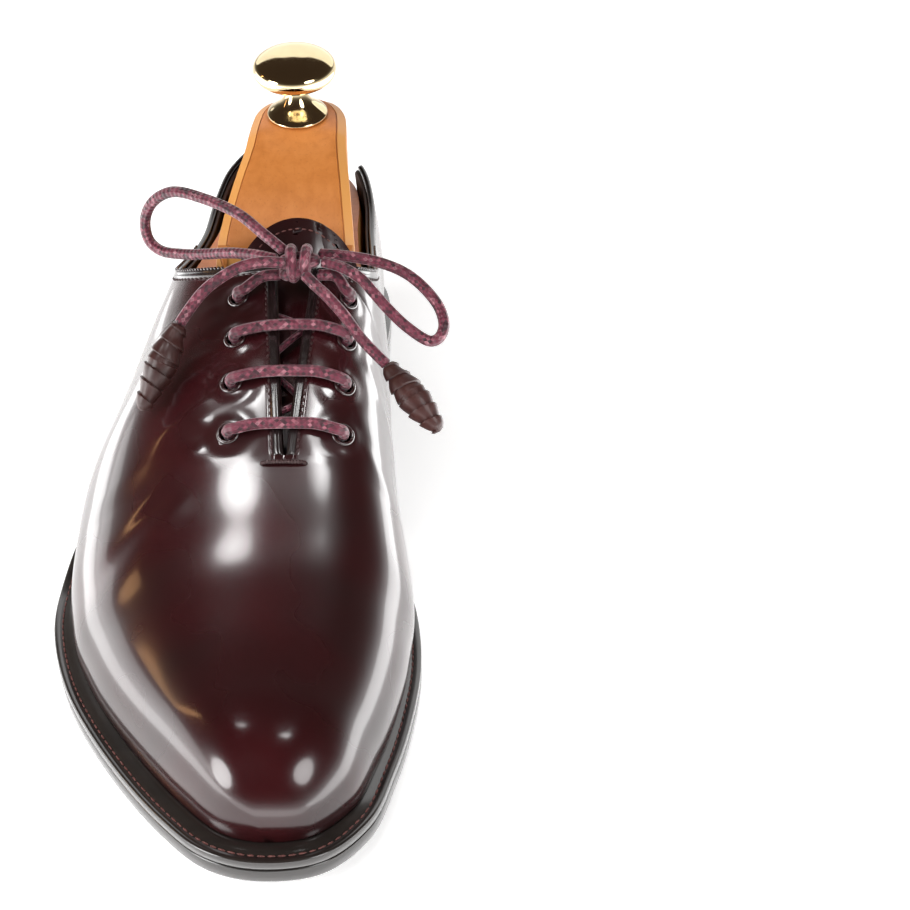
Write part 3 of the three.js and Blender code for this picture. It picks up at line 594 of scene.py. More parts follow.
def turned_piece(name, profile, at, axis, material, sides=64, **more):
    """A piece turned from a (radius, height) profile. Its height runs along axis from the place at."""
    profile = np.array(profile, float)
    axis = np.array(axis, float) / np.linalg.norm(axis)
    side = np.cross(axis, [0, 1, 0.2])
    side /= np.linalg.norm(side)
    other = np.cross(axis, side)
    angle = np.arange(sides) * 2 * math.pi / sides
    ring = np.cos(angle)[:, None] * side + np.sin(angle)[:, None] * other
    points = np.array(at) + profile[:, None, :1] * ring[None] + profile[:, None, 1:] * axis
    closed = bool(profile[0, 0] > 0)
    faces = grid_faces(len(profile), sides, closed_rows=closed, closed_columns=True)
    return finish_piece(name, points.reshape(-1, 3), faces, material, **more)


# %% [markdown]
# The lace comes first, because a cord's real length decides where its loops can lie. The bow hangs from the knot
# on its own: two loops and two short ends, each end with its wound leather tip. The points are those of the CAD.

# %% The bow
LACE_RADIUS = 1.75
KNOT = np.array([19.4, 16.5, 99.8])
LEFT_LOOP = [
    (14.4, 20, 102.4), (7.8, 24, 106.2), (0.5, 30, 109.3), (-11.2, 38, 110.7), (-22.5, 44, 110.2),
    (-29.9, 47, 104.7), (-33.0, 48, 97.4), (-32.2, 47, 91.3), (-28.6, 45, 88.7), (-20.5, 41, 89.4),
    (-11.6, 36, 92.2), (-3.4, 31, 95.3), (5.1, 26, 97.3), (11.5, 22, 98.1),
]
RIGHT_LOOP = [
    (25.7, 21, 100.4), (33.5, 20.5, 100.0), (43.7, 18.5, 99.0), (52.2, 15.5, 96.8), (58.4, 11.5, 93.4),
    (63.0, 6.5, 89.2), (64.2, 2, 85.5), (62.7, -0.5, 83.1), (60.0, -1.5, 82.6), (53.3, 0, 86.4),
    (47.4, 3.5, 90.7), (42.5, 7, 95.0), (38.9, 9.5, 98.1), (33.2, 13, 100.0), (27.0, 15.5, 100.7),
]
LEFT_END = [(14.9, 12, 102.3), (8.8, 10.5, 103.4), (2.3, 8.5, 102.8), (-3.6, 5.5, 100.7), (-8.4, 2.5, 97.9),
            (-12.5, -1, 94.0), (-15.5, -4, 90.5)]
RIGHT_END = [(21.8, 9.5, 99.5), (25.2, 7, 97.1), (28.4, 4.2, 95.4), (33.5, 0, 91.5), (39.1, -4.5, 85.5),
             (43.7, -8.5, 82.3), (46.8, -11, 80.3)]
LEFT_TIP = [(-15.8, -4.4, 89.9), (-26.9, -19.5, 69.7)]
RIGHT_TIP = [(47.3, -11.5, 79.9), (62.8, -27, 67.2)]
STEP_ALONG = 0.5         # spacing of a cord's rings


def even(points, step=STEP_ALONG):
    line = curve_through(points)
    return spaced(line, max(8, int(lengths_along(line)[-1] / step) + 1))


def bow_tip(name, ends, body):
    """A leather strip wound round the lace's end: each turn laps over the one before, so the outside is stepped."""
    start, stop = np.array(ends, float)
    length = np.linalg.norm(stop - start)
    shape = stations([(0, 2.3), (1.2, 2.9), (4, 3.3), (6, 4.1), (10, 4.75), (14, 4.9), (18, 4.4), (21, 3.6),
                      (length - 1.2, 2.7), (length, 1.9)])
    path = start + (stop - start) * np.linspace(0, 1, 220)[:, None]
    sides, laps, step = 56, 6.0, 0.8
    height = np.linspace(0, 1, 220)[:, None]
    turn = np.arange(sides)[None] / sides
    lap = (height * laps + turn) % 1.0
    slope = np.where(height < 0.45, 1 - lap, lap)
    radius = shape(height[:, 0] * length)[:, None] + 0.15 - step * slope ** 1.3
    return tube(name, path, radius, WRAP, sides=sides, body=body, slot="wrap_leather",
                replaces=(name.replace("wound_tip", "barrel"),))


def free_cord(name, points, body, node, tip=None):
    path = even(points)
    cord = tube(name, path, LACE_RADIUS, LACE, body=body, slot="lace", replaces=(node,))


free_cord("bow_loop_left", LEFT_LOOP, "shoe", "lace_loop_left")
free_cord("bow_loop_right", RIGHT_LOOP, "shoe", "lace_loop_right")
free_cord("bow_end_left", LEFT_END, "lace_tip_left", "lace_end_left",
          bow_tip("wound_tip_left", LEFT_TIP, "lace_tip_left"))
free_cord("bow_end_right", RIGHT_END, "lace_tip_right", "lace_end_right",
          bow_tip("wound_tip_right", RIGHT_TIP, "lace_tip_right"))

# %% [markdown]
# The upper is one hide with a slit for the facings and a scooped top line. Each row of its mesh runs from the cut
# edge down to the sole, so the edges stay clean and the columns near an edge follow it at a fixed distance. That
# makes the folded binding a simple swell along the edge, and gives the stitches a line to follow.

# %% Where the upper is cut
TOP_LINE = [(14, 99), (24, 94), (34, 87.5), (46, 80.5), (58, 75.5), (72, 73), (86, 73), (102, 75.3), (118, 79.5),
            (130, 83.5), (140, 87), (160, 92)]
THROAT_Y, FACING_TOP_Y = -38, 26
THROAT_HALF_GAP, TOP_HALF_GAP = 0.6, 6.6
top_curve = curve_through(TOP_LINE)


def half_gap(y):
    run = np.clip(y - THROAT_Y, 0, None)
    return (THROAT_HALF_GAP * np.sqrt(np.clip(run, 0, 1))
            + (TOP_HALF_GAP - THROAT_HALF_GAP) * run / (FACING_TOP_Y - THROAT_Y))


def past_edge(points, outer, y, lower):
    """How far points lie past the facing's edge or the top line, in millimetres."""
    across = (points[..., 0] - LACING_X) * (1 if outer else -1) + half_gap(y)
    across = np.where(y > THROAT_Y, across, -9.0)
    above = points[..., 2] - np.interp(points[..., 1], top_curve[:, 0], top_curve[:, 1]) + lower
    return np.maximum(across, np.where(points[..., 1] > TOP_LINE[0][0], above, -9.0))


NEAR_EDGE = np.concatenate([np.arange(0, 4.6, 0.25), [5.2, 6.0, 7.0]])


def half_rows(rows, outer, far_columns, lower):
    """Turns of one half's grid, from its cut edge down to the sole, and each point's distance from the edge."""
    dense = np.linspace(0, 0.5, 420) if outer else np.linspace(1, 0.5, 420)
    points = last_point(rows[:, None], dense[None])
    past = past_edge(points, outer, rows[:, None], lower)
    reach, edge_at, edge_points = [], [], []
    for row, past_row in zip(points, past):
        along = lengths_along(row)
        hits = np.flatnonzero(past_row > 0)
        if len(hits):
            k = max(hits[0], 1)
            share = past_row[k - 1] / (past_row[k - 1] - past_row[k])
            end = along[k - 1] + (along[k] - along[k - 1]) * np.clip(share, 0, 1)
        else:
            end = along[-1]
        reach.append(along)
        edge_at.append(end)
        edge_points.append([np.interp(end, along, row[:, a]) for a in range(3)])
    edge_points = np.array(edge_points)
    along_edge = np.gradient(edge_points, axis=0)
    along_edge /= np.linalg.norm(along_edge, axis=1)[:, None] + 1e-9
    turns, apart = [], []
    for k, (along, end) in enumerate(zip(reach, edge_at)):
        below = np.array([np.interp(max(end - 2, 0), along, points[k][:, a]) for a in range(3)])
        down = (below - edge_points[k]) / (np.linalg.norm(below - edge_points[k]) + 1e-9)
        slant = np.clip(np.linalg.norm(np.cross(along_edge[k], down)), 0.4, 1) if rows[k] > THROAT_Y + 1 else 1.0
        near = NEAR_EDGE / slant * min(1, end / 40)
        far = near[-1] + (end - near[-1]) * np.linspace(0, 1, far_columns + 1)[1:] ** 1.45
        drop = np.concatenate([near, far])
        turns.append(np.interp(end - drop, along, dense))
        apart.append(drop * slant)
    return np.array(turns), np.array(apart)


def upper_rows(count):
    """Rows along the foot, closest together at the two ends and beside the lacing."""
    y = np.linspace(feather.low, feather.high, 4000)
    t = (y - feather.low) / (feather.high - feather.low)
    crowd = 0.55 / np.sqrt(t * (1 - t) + 0.0002) + 1.5 * smooth_step((y + 60) / 14) * smooth_step((36 - y) / 12)
    share = np.concatenate([[0], np.cumsum((crowd[1:] + crowd[:-1]) / 2)])
    rows = np.interp(np.linspace(0, 1, count), share / share[-1], y)
    extra = THROAT_Y + np.array([0, 0.12, 0.4, 0.9])
    rows = rows[np.abs(rows - THROAT_Y) > 1.2]
    return np.sort(np.concatenate([rows, extra]))


# %% [markdown]
# Real leather isn't a perfect shell. Walking and lacing leave soft folds that fan out from the eyelets and one
# shallow bend across the ball, the eyelets press a ring into the hide, and the folded edges swell. All of these
# are small moves along the surface's normal.

# %% The upper's relief
EYELET_ROWS = (-31, -16, -1, 14)
EYELET_OFFSET = 17
eyelet_places = {(side, k + 1): on_last(LACING_X + sign * EYELET_OFFSET, y)
                 for k, y in enumerate(EYELET_ROWS) for side, sign in (("lateral", -1), ("medial", 1))}
# Each fold: start x, start y, direction in degrees, length, height and half width.
FOLDS = [
    (-5, -33, 215, 34, 0.55, 2.6), (-4, -30, 196, 30, -0.45, 2.4), (-4, -27, 178, 26, 0.45, 2.2),
    (-4, -19, 206, 22, 0.4, 2.0), (-3, -15, 186, 20, -0.35, 1.9), (-3, -4, 200, 18, 0.35, 1.8),
    (-3, 0, 180, 15, -0.25, 1.6), (-2, 12, 188, 12, 0.25, 1.5), (-9, -45, 232, 40, 0.5, 3.2),
    (-16, -44, 222, 34, -0.4, 3.0), (40, -28, -30, 16, 0.25, 2.2), (39, 0, -12, 14, 0.3, 2.2),
    (40, 10, 8, 14, -0.25, 2.0),
]


def swell(value, centre, width):
    return np.exp(-((value - centre) / width) ** 2)


def relief(points, apart, cut_rows):
    height = np.zeros(points.shape[:-1])
    for (place, _) in eyelet_places.values():
        away = np.linalg.norm(points - place, axis=-1)
        height += 0.22 * swell(away, 4.2, 1.5) - 0.28 * swell(away, 7.0, 2.4)
    for x, y, degrees, length, size, width in FOLDS:
        angle = math.radians(degrees)
        run = ((points[..., 0] - x) * math.cos(angle) + (points[..., 1] - y) * math.sin(angle)) / length
        side = (points[..., 0] - x) * -math.sin(angle) + (points[..., 1] - y) * math.cos(angle)
        side = side + 3.0 * np.sin(run * 3)
        fade = smooth_step(run * 6) * smooth_step((1 - run) * 1.6)
        height += 0.8 * size * fade * np.exp(-(side / (1.35 * width * (0.6 + 0.7 * np.clip(run, 0, 1)))) ** 2)
    height += 0.35 * np.sin((points[..., 1] + 68 - 0.12 * points[..., 0]) / 6.5) * swell(points[..., 1], -66, 13)
    binding = 0.34 * swell(apart, 0.85, 0.5) + 0.30 * swell(apart, 2.05, 0.5) - 0.25 * swell(apart, 3.1, 0.45)
    return height + binding * cut_rows


def cut_shell(name, material, depth, thickness, lower=0.0, rows=290, far_columns=46, rough=True, **more):
    """A leather shell on the last, depth below its surface, with the slit and the top line cut out."""
    rows = upper_rows(rows)
    throat = int(np.flatnonzero(np.isclose(rows, THROAT_Y))[0])
    cut = (rows > THROAT_Y).astype(float)[:, None]
    all_points, all_faces, edge_values, kept = [], [], [], {}
    for outer in (True, False):
        turns, apart = half_rows(rows, outer, far_columns, lower)
        normal = last_normal(rows[:, None], turns)
        normal[0] = (0, -0.97, 0.24)
        normal[-1, :, 0] = 0
        normal /= np.linalg.norm(normal, axis=-1, keepdims=True)
        skin = last_point(rows[:, None], turns) - normal * depth
        if rough:
            skin += normal * relief(skin, apart, cut)[..., None]
        back = last_point(rows[:, None], turns) - normal * (depth + thickness)
        outward = skin[:, :1] - skin[:, 2:3]
        outward /= np.linalg.norm(outward, axis=-1, keepdims=True) + 1e-9
        rim = (skin[:, :1] + back[:, :1]) / 2 + outward * 0.35 * (rows > THROAT_Y + 0.05)[:, None, None]
        ring = np.concatenate([rim, skin, back[:, ::-1]], axis=1)
        columns = ring.shape[1]
        faces = [face for face in grid_faces(len(rows), columns, closed_columns=True)
                 if not (min(face) // columns < throat and any(index % columns == 0 for index in face))]
        start = sum(len(part) for part in all_points)
        all_faces += [tuple(index + start for index in face) for face in faces]
        all_points.append(ring.reshape(-1, 3))
        value = np.where(cut > 0, apart, 9.0)
        edge_values.append(np.concatenate([0 * value[:, :1], value, value[:, ::-1]], axis=1).ravel())
        kept["outer" if outer else "inner"] = (rows, skin, normal, throat)
    shell = finish_piece(name, np.concatenate(all_points), all_faces, material, merge=0.01,
                         attributes={"edge": np.concatenate(edge_values)}, **more)
    return shell, kept


upper, upper_lines = cut_shell("whole_cut_upper", LEATHER, 0, 1.6, slot="upper_leather", replaces=("upper",))
lining, _ = cut_shell("collar_and_vamp_lining", LINING, 1.9, 1.2, lower=0.8, rows=120, far_columns=24, rough=False,
                      slot="lining_leather", replaces=("vamp_lining", "quarter_lining"))
print("upper", len(upper.data.polygons), "faces")

# %% [markdown]
# Each eyelet is a short tube with a rolled rim, set through a punched hole. The holes are cut by a boolean with
# eight thin rods, because a real hole shows the lace going down into the dark. The result is baked into the mesh,
# so nothing live is left on the piece.

# %% Eyelet holes
EYELET_BORE, EYELET_WALL = 2.5, 0.4


def baked(piece):
    """The piece's mesh with its modifiers applied, as a new mesh."""
    bpy.context.view_layer.update()
    depsgraph = bpy.context.evaluated_depsgraph_get()
    return bpy.data.meshes.new_from_object(piece.evaluated_get(depsgraph), depsgraph=depsgraph)


def cut_with(piece, cutter, operation="DIFFERENCE"):
    step = piece.modifiers.new("cut", "BOOLEAN")
    step.operation, step.object, step.solver = operation, cutter, "EXACT"
    result = baked(piece)
    piece.modifiers.remove(step)
    piece.data = result
    bpy.data.objects.remove(cutter)
    shade_faces(result, True)
    return piece


def rods(name, ends, radius, sides=24):
    """Closed rods between pairs of places, as one mesh, so that one boolean cuts all their holes."""
    points, faces = [], []
    angle = np.arange(sides) * 2 * math.pi / sides
    caps = [tuple(range(sides)), tuple(range(2 * sides - 1, sides - 1, -1))]
    for k, pair in enumerate(ends):
        path = np.array(pair, float)
        ahead = (path[1] - path[0]) / np.linalg.norm(path[1] - path[0])
        side = np.cross(ahead, [0, 1, 0.3])
        side /= np.linalg.norm(side)
        ring = np.cos(angle)[:, None] * side + np.sin(angle)[:, None] * np.cross(ahead, side)
        points.append((path[:, None] + ring[None] * radius).reshape(-1, 3))
        faces += [tuple(index + 2 * sides * k for index in face)
                  for face in grid_faces(2, sides, closed_columns=True) + caps]
    return plain_mesh(name, np.concatenate(points), faces)


for shell in (upper, lining):
    punched = [(place - normal * 7, place + normal * 4) for place, normal in eyelet_places.values()]
    cut_with(shell, rods("eyelet_rods", punched, EYELET_BORE + EYELET_WALL + 0.05))
print("upper with its eyelet holes:", len(upper.data.polygons), "faces")

# %% Eyelets
EYELET_PROFILE = [(2.5, -3.6), (2.5, -1), (2.5, 0.25), (2.62, 0.6), (2.95, 0.82), (3.3, 0.72), (3.58, 0.45), (3.6, 0.3),
                  (3.3, 0.26), (2.9, 0.2), (2.9, -1), (2.9, -3.6)]
for (side, row), (place, normal) in eyelet_places.items():
    turned_piece(f"enamelled_eyelet_{side}_{row}", EYELET_PROFILE, place, normal, ENAMEL, sides=40, slot="brass",
                 replaces=(f"eyelet_{side}_{row}",))

# %% [markdown]
# The lacing is one cord in the real shoe. On top it makes three straight bars. Below it climbs from row to row, and
# those thinner runs show in the gap between the facings. The last stretch comes out of the top eyelets and
# rises to the knot.

# %% Lace through the eyelets
UNDER_RADIUS = 1.1
UPPER_STACK = 3.1        # upper, lining and the glue line between them
UNDER_PASS = UPPER_STACK + SEAT + UNDER_RADIUS + 0.1
CROSSING = UNDER_PASS + 2 * UNDER_RADIUS + SEAT


def over_rim(side, row):
    """From an eyelet's bore up and over its rim, towards the middle of the shoe."""
    place, normal = eyelet_places[(side, row)]
    inward = np.array([1.0 if side == "lateral" else -1.0, 0, 0])
    inward -= normal * np.dot(inward, normal)
    inward /= np.linalg.norm(inward)
    steps = [(0, -2.5), (0, -0.6), (0.15, 1.2), (1.2, LACE_RADIUS + 0.95), (3.4, LACE_RADIUS + 1.55)]
    return [place + inward * run + normal * lift for run, lift in steps]


for row in (1, 2, 3):
    top = [on_last(LACING_X + s, EYELET_ROWS[row - 1] + 0.6, LACE_RADIUS + 0.75)[0] for s in (-9, -3, 3, 9)]
    bar = over_rim("lateral", row) + top + over_rim("medial", row)[::-1]
    tube(f"lace_bar_over_{row}", even(bar), LACE_RADIUS, LACE, slot="lace", replaces=(f"lace_bar_{row}",))
UNDER_RUNS = [("lateral", 1, "medial", 2, UNDER_PASS), ("lateral", 2, "medial", 4, UNDER_PASS),
              ("medial", 1, "lateral", 3, CROSSING), ("medial", 3, "lateral", 4, CROSSING)]
for k, (side_a, row_a, side_b, row_b, depth) in enumerate(UNDER_RUNS):
    start, stop = eyelet_places[(side_a, row_a)][0], eyelet_places[(side_b, row_b)][0]
    route = []
    for t in (0, 0.2, 0.4, 0.6, 0.8, 1):
        x, y = start[:2] + (stop[:2] - start[:2]) * t
        route.append(on_last(x, y, -(UNDER_PASS if t in (0, 1) else depth))[0])
    tube(f"lace_climb_{k + 1}", even(route), UNDER_RADIUS, LACE, sides=14, slot="lace",
         replaces=(f"lace_under_{k + 1}",))
for side, sign in (("lateral", -1), ("medial", 1)):
    rise = over_rim(side, 4) + [KNOT + (sign * 11.5, -1.5, -4.0), KNOT + (sign * 6.1, 0.1, -4.2)]
    tube(f"lace_rise_{side}", even(rise), LACE_RADIUS, LACE, slot="lace", replaces=(f"lace_riser_{side}",))

# %% [markdown]
# A bow knot is two turns of lace pulled tight round each other, so it reads as a few fat wraps, not as a ball. Each
# wrap is a closed tube on a tilted oval, and the wraps press into each other at the middle, as soft cord does.

# %% The knot
# Each wrap: place along x, half depth, half height, lean about y and turn about z in degrees, and lift.
KNOT_WRAPS = [(-2.0, 4.2, 4.4, -4, 2, -0.2), (2.2, 3.8, 3.3, 5, -3, 0.9), (-1.0, 3.6, 4.2, 62, 10, -1.3),
              (0.1, 2.4, 4.9, 88, 3, 0.6)]


def knot_wraps():
    angle = np.arange(14) * 2 * math.pi / 14
    for k, (along, deep, tall, lean, turn, lift) in enumerate(KNOT_WRAPS):
        ring = np.stack([0 * angle, deep * np.cos(angle), tall * np.sin(angle)], axis=1)
        lean, turn = math.radians(lean), math.radians(turn)
        tilt = np.array([[math.cos(lean), 0, math.sin(lean)], [0, 1, 0], [-math.sin(lean), 0, math.cos(lean)]])
        spin = np.array([[math.cos(turn), -math.sin(turn), 0], [math.sin(turn), math.cos(turn), 0], [0, 0, 1]])
        line = curve_through(ring @ tilt.T @ spin.T + KNOT + (along, 0, lift), closed=True, per_span=6)
        tube(f"bow_knot_wrap_{k + 1}", line, LACE_RADIUS, LACE, closed=True, slot="lace",
             replaces=("lace_knot",) if k == 0 else ())


knot_wraps()

# %% [markdown]
# The tongue is a loose flap under the facings: a thin sheet on the same last, deeper in, with a rounded top. Its
# outline is one half-width for each row, so the rows close to a point at the top and no edge is ragged.

# %% The tongue
TONGUE_DEPTH = CROSSING + UNDER_RADIUS + SEAT
TONGUE_THICKNESS = 2.0
TONGUE_FOOT_Y, TONGUE_SHOULDER_Y, TONGUE_TOP_Y, TONGUE_ROUND = -35, 27, 43, 16
tongue_half = stations([(TONGUE_FOOT_Y, 11), (-5, 18), (14, 19.6), (TONGUE_SHOULDER_Y, 20)])


def tongue_width(y, inset=0.0):
    past = np.clip(y - TONGUE_SHOULDER_Y, 0, None)
    rounding = np.sqrt(np.clip(1 - (past / (TONGUE_ROUND - inset)) ** 2, 0, 1))
    return (tongue_half(np.minimum(y, TONGUE_SHOULDER_Y)) - inset) * rounding


def tongue_rows(inset=0.0, count=70):
    t = np.linspace(0, 1, count)
    return TONGUE_FOOT_Y + (TONGUE_TOP_Y - inset - TONGUE_FOOT_Y) * np.sin(t * math.pi / 2)


def on_plan(x, y, depth):
    """The point of the surface depth below the last that stands at plan place (x, y), found step by step."""
    x, y = np.broadcast_arrays(np.asarray(x, float), np.asarray(y, float))
    from_x, from_y = x.copy(), y.copy()
    for _ in range(14):
        points = on_last(from_x, from_y, -depth)[0]
        from_x = from_x + 0.6 * (x - points[..., 0])
        from_y = from_y + 0.6 * (y - points[..., 1])
    return points


TONGUE_FLARE_RADIUS = 60


def flared(points, x, y):
    """Above the facings the tongue springs flatter than the foot: its top is a shallow arch across."""
    crest = on_plan(np.full(y.shape, LACING_X), y, TONGUE_DEPTH)[..., 2]
    arch = crest - (x - LACING_X) ** 2 / (2 * TONGUE_FLARE_RADIUS)
    free = smooth_step((y - 25) / 7)
    lifted = points.copy()
    lifted[..., 2] += free * np.clip(arch - points[..., 2], 0, None)
    return lifted


def make_tongue():
    rows = tongue_rows()
    across = np.sin(np.linspace(-1, 1, 25) * math.pi / 2)
    ring = []
    for depth, order in ((TONGUE_DEPTH, 1), (TONGUE_DEPTH + TONGUE_THICKNESS, -1)):
        x = LACING_X + tongue_width(rows)[:, None] * across[::order][None]
        ring.append(flared(on_plan(x, rows[:, None], depth), x, rows[:, None]))
    ring = np.concatenate(ring, axis=1)
    faces = grid_faces(len(rows), ring.shape[1], closed_columns=True) + [tuple(range(ring.shape[1]))]
    return finish_piece("leather_tongue", ring.reshape(-1, 3), faces, LEATHER, slot="upper_leather", merge=0.01,
                        replaces=("tongue",), attributes={"edge": np.full(ring.shape[0] * ring.shape[1], 9.0)})


make_tongue()

# %% The bar tack
tack_line = [on_last(LACING_X + s, THROAT_Y - 2.2, lift)[0]
             for s, lift in ((-6.6, -0.5), (-5.9, 0.7), (-3, 1.0), (0, 1.05), (3, 1.0), (5.9, 0.7), (6.6, -0.5))]
tack_path = even(tack_line, 0.15)
ripple = 0.62 + 0.10 * np.sin(lengths_along(tack_path) * 2 * math.pi / 0.9)
tube("throat_tack", tack_path, ripple[:, None], SEAM_THREAD, sides=12, slot="thread", replaces=("throat_bar_tack",))

# %% [markdown]
# A welted sole is layers with the same outline: the welt that the upper is sewn to, the outsole, and the heel's
# lifts. Each layer is swept round the outline along a small profile, so its arris can be rounded and grooved.
# The two sides of a line are sampled at the same y, which lets a flat face run straight across the sole.

# %% Layers round the sole
LINE_COUNT = 150


def round_line(edge, height, start=None, stop=None, middle=False):
    """One line round the sole at a height above y, open where start or stop cuts it."""
    low, high = edge.low if start is None else start, edge.high if stop is None else stop
    ease = (1 - np.cos(math.pi * np.linspace(0, 1, LINE_COUNT))) / 2
    y = low + (high - low) * ease
    outer, inner = edge.at(y)
    if middle:
        outer = inner = (outer + inner) / 2
    z = height(y)
    one, other = np.stack([outer, y, z], 1), np.stack([inner, y, z], 1)
    return np.vstack([one[::-1], other] if start is None and stop is not None else [one, other[::-1]])


def sole_layer(name, profile, material, start=None, stop=None, ring=False, **more):
    """Profile: (edge, height function) pairs up the outside. A ring closes on itself; a slab closes at its middle."""
    lines = [round_line(edge, height, start, stop) for edge, height in profile]
    if not ring:
        lines = ([round_line(profile[0][0], profile[0][1], start, stop, middle=True)] + lines
                 + [round_line(profile[-1][0], profile[-1][1], start, stop, middle=True)])
    points = np.stack(lines, axis=1)
    count, rails = points.shape[:2]
    whole = start is None and stop is None
    faces = grid_faces(count, rails, closed_rows=whole, closed_columns=ring)
    if not whole:
        first, last = list(range(rails)), list(range((count - 1) * rails, count * rails))
        faces += [first, last[::-1]] if ring else [first + last[::-1]]
    return finish_piece(name, points.reshape(-1, 3), faces, material, merge=0.002, **more)


def above(base, lift):
    return lambda y: base(y) + lift


def flat(height):
    return lambda y: 0 * np.asarray(y, float) + height


EDGES = {step: sole_edge(step) for step in (0, 0.25, 0.3, 0.4, 0.75, 0.9, 1.1, 1.4, 1.9, 2.5, 2.8, 3.1)}
WELT_HOLD = 6.1          # how far the welt reaches in under the upper
welt_inside = sole_edge(WELT_HOLD, share=1.0)
top = SOLE_THICKNESS + WELT_THICKNESS
welt_profile = [(welt_inside, above(under, SOLE_THICKNESS)), (EDGES[0.3], above(under, SOLE_THICKNESS)),
                (EDGES[0], above(under, SOLE_THICKNESS + 0.3)), (EDGES[0], above(under, top - 0.5)),
                (EDGES[0.25], above(under, top - 0.15)), (EDGES[0.75], above(under, top)),
                (EDGES[1.9], above(under, top)), (EDGES[2.5], above(under, top - 0.45)),
                (EDGES[2.8], above(under, top - 0.45)), (EDGES[3.1], above(under, top)),
                (welt_inside, above(under, top))]
rand_profile = [part for part in welt_profile if part[0] not in (EDGES[1.9], EDGES[2.5], EDGES[2.8], EDGES[3.1])]
sole_layer("storm_welt", welt_profile, SOLE_EDGE, stop=HEEL_BREAST_Y, ring=True, slot="sole_edge", replaces=("welt",))
sole_layer("heel_seat_rand", rand_profile, SOLE_EDGE, start=HEEL_BREAST_Y + 0.3, ring=True, slot="sole_edge",
           replaces=("heel_rand",))
outsole_profile = [(EDGES[0.9], under), (EDGES[0.25], above(under, 0.25)), (EDGES[0], above(under, 0.8)),
                   (EDGES[0], above(under, 4.3)), (EDGES[0.3], above(under, 4.7))]
sole_layer("leather_outsole", outsole_profile, SOLE_EDGE, slot="sole_edge", replaces=("outsole",))

# %% The heel
# Each layer: name, node, inset of its edge, bottom and top.
HEEL_LAYERS = [("rubber_top_piece", "top_piece", 1.4, 0, 5.5), ("heel_lift_low", "heel_lift_3", 1.1, 5.5, 11),
               ("heel_lift_middle", "heel_lift_2", 0.75, 11, 16.5), ("heel_lift_high", "heel_lift_1", 0.4, 16.5, 22)]
NAIL_PLACES = [(10 + 21 * math.cos(k * math.pi / 4), 112 + 24 * math.sin(k * math.pi / 4)) for k in range(5)]
NAIL_RADIUS, NAIL_TOP = 1.25, 9.8

for name, node, inset, low, high in HEEL_LAYERS:
    edge, eased = sole_edge(inset), sole_edge(inset + 0.35)
    profile = [(eased, flat(low + 0.02)), (edge, flat(low + 0.3)), (edge, flat(high - 0.3)), (eased, flat(high - 0.02))]
    is_rubber = node == "top_piece"
    layer = sole_layer(name, profile, RUBBER if is_rubber else SOLE_EDGE, start=HEEL_BREAST_Y, replaces=(node,),
                       slot="heel_rubber" if is_rubber else "sole_edge", smooth=False)
    if low < 9:
        nails = [((x, y, -1), (x, y, NAIL_TOP)) for x, y in NAIL_PLACES]
        cut_with(layer, rods("nail_rods", nails, NAIL_RADIUS, sides=16))
        shade_faces(layer.data, False)

# %% [markdown]
# The shoe tree's heel block fills the heel below the top line, and a post with broad chamfers rises from it to
# carry the knob. The block is the last made smaller, so it is cut from the same formula by a boolean. The post is
# rings that step in from its plan outline and follow its side profile, which makes the chamfer exact.
# A grid of points inside the last ring keeps its long curved face even.

# %% The tree's heel block
TREE_DEPTH = 5.2
BLOCK_TOP_Z = 74
TREE_FLOOR = 3 * SEAT + 2.4 + 1 + 0.6     # glue lines, insole, sock liner and clearance
POST_TOP = [(46, 80), (50, 88), (56, 95.2), (63, 101.6), (72, 107.6), (82, 112.2), (84, 112.9), (95, 114.5),
            (106, 115.8), (109.5, 112)]
POST_ROUND, POST_CENTRE = 16.0, (14.6, 92)
# Chamfer of the post: how far each ring steps in, how far it lies below the top surface, and its painted light, which
# is 1 on the chamfer, painted lighter as if lit, and -1 in the fine groove inside it, painted darker as shade. None
# stands for the post's foot.
POST_RINGS = [(0, None, 0), (0, 2.6, 0), (0.15, 2.1, 1), (3.0, 0.5, 1), (3.15, 0.75, -1), (3.35, 0.75, -1),
              (3.6, 0.05, 0), (3.9, 0, 0)]
POST_FRONT_Y, POST_BACK_Y, POST_FOOT_Z = 46, 109.5, 60.0
POST_GRID = 1.6          # spacing of the points inside the post's top face


def small_last(depth, start_y):
    rows = np.concatenate([np.linspace(start_y, 120, 60)[:-1], np.linspace(120, feather.high, 50)])
    turns = np.linspace(0, 1, 90)
    normal = last_normal(rows[:, None], turns[None])
    normal[-1, :, 0] = 0
    normal /= np.linalg.norm(normal, axis=-1, keepdims=True)
    points = last_point(rows[:, None], turns[None]) - normal * depth
    faces = grid_faces(len(rows), len(turns), closed_columns=True) + [tuple(range(len(turns)))]
    return plain_mesh("small_last", points.reshape(-1, 3), faces, merge=0.01)


def side_prism(profile):
    """A (y, z) outline carried across the shoe."""
    count = len(profile)
    points = [(x, y, z) for x in (-60, 80) for y, z in profile]
    faces = [(k, (k + 1) % count, (k + 1) % count + count, k + count) for k in range(count)]
    ends = [tuple(range(count)), tuple(range(2 * count - 1, count - 1, -1))]
    return plain_mesh("side_prism", points, faces + ends)


def inside_loop(x, y, loop):
    """Whether a plan place lies inside a closed loop, by counting the sides that a ray to its right crosses."""
    after = np.roll(loop, -1, axis=0)
    spans = (loop[:, 1] > y) != (after[:, 1] > y)
    rise = np.where(spans, after[:, 1] - loop[:, 1], 1.0)
    return bool(np.sum(spans & (x < loop[:, 0] + (after[:, 0] - loop[:, 0]) * (y - loop[:, 1]) / rise)) % 2)


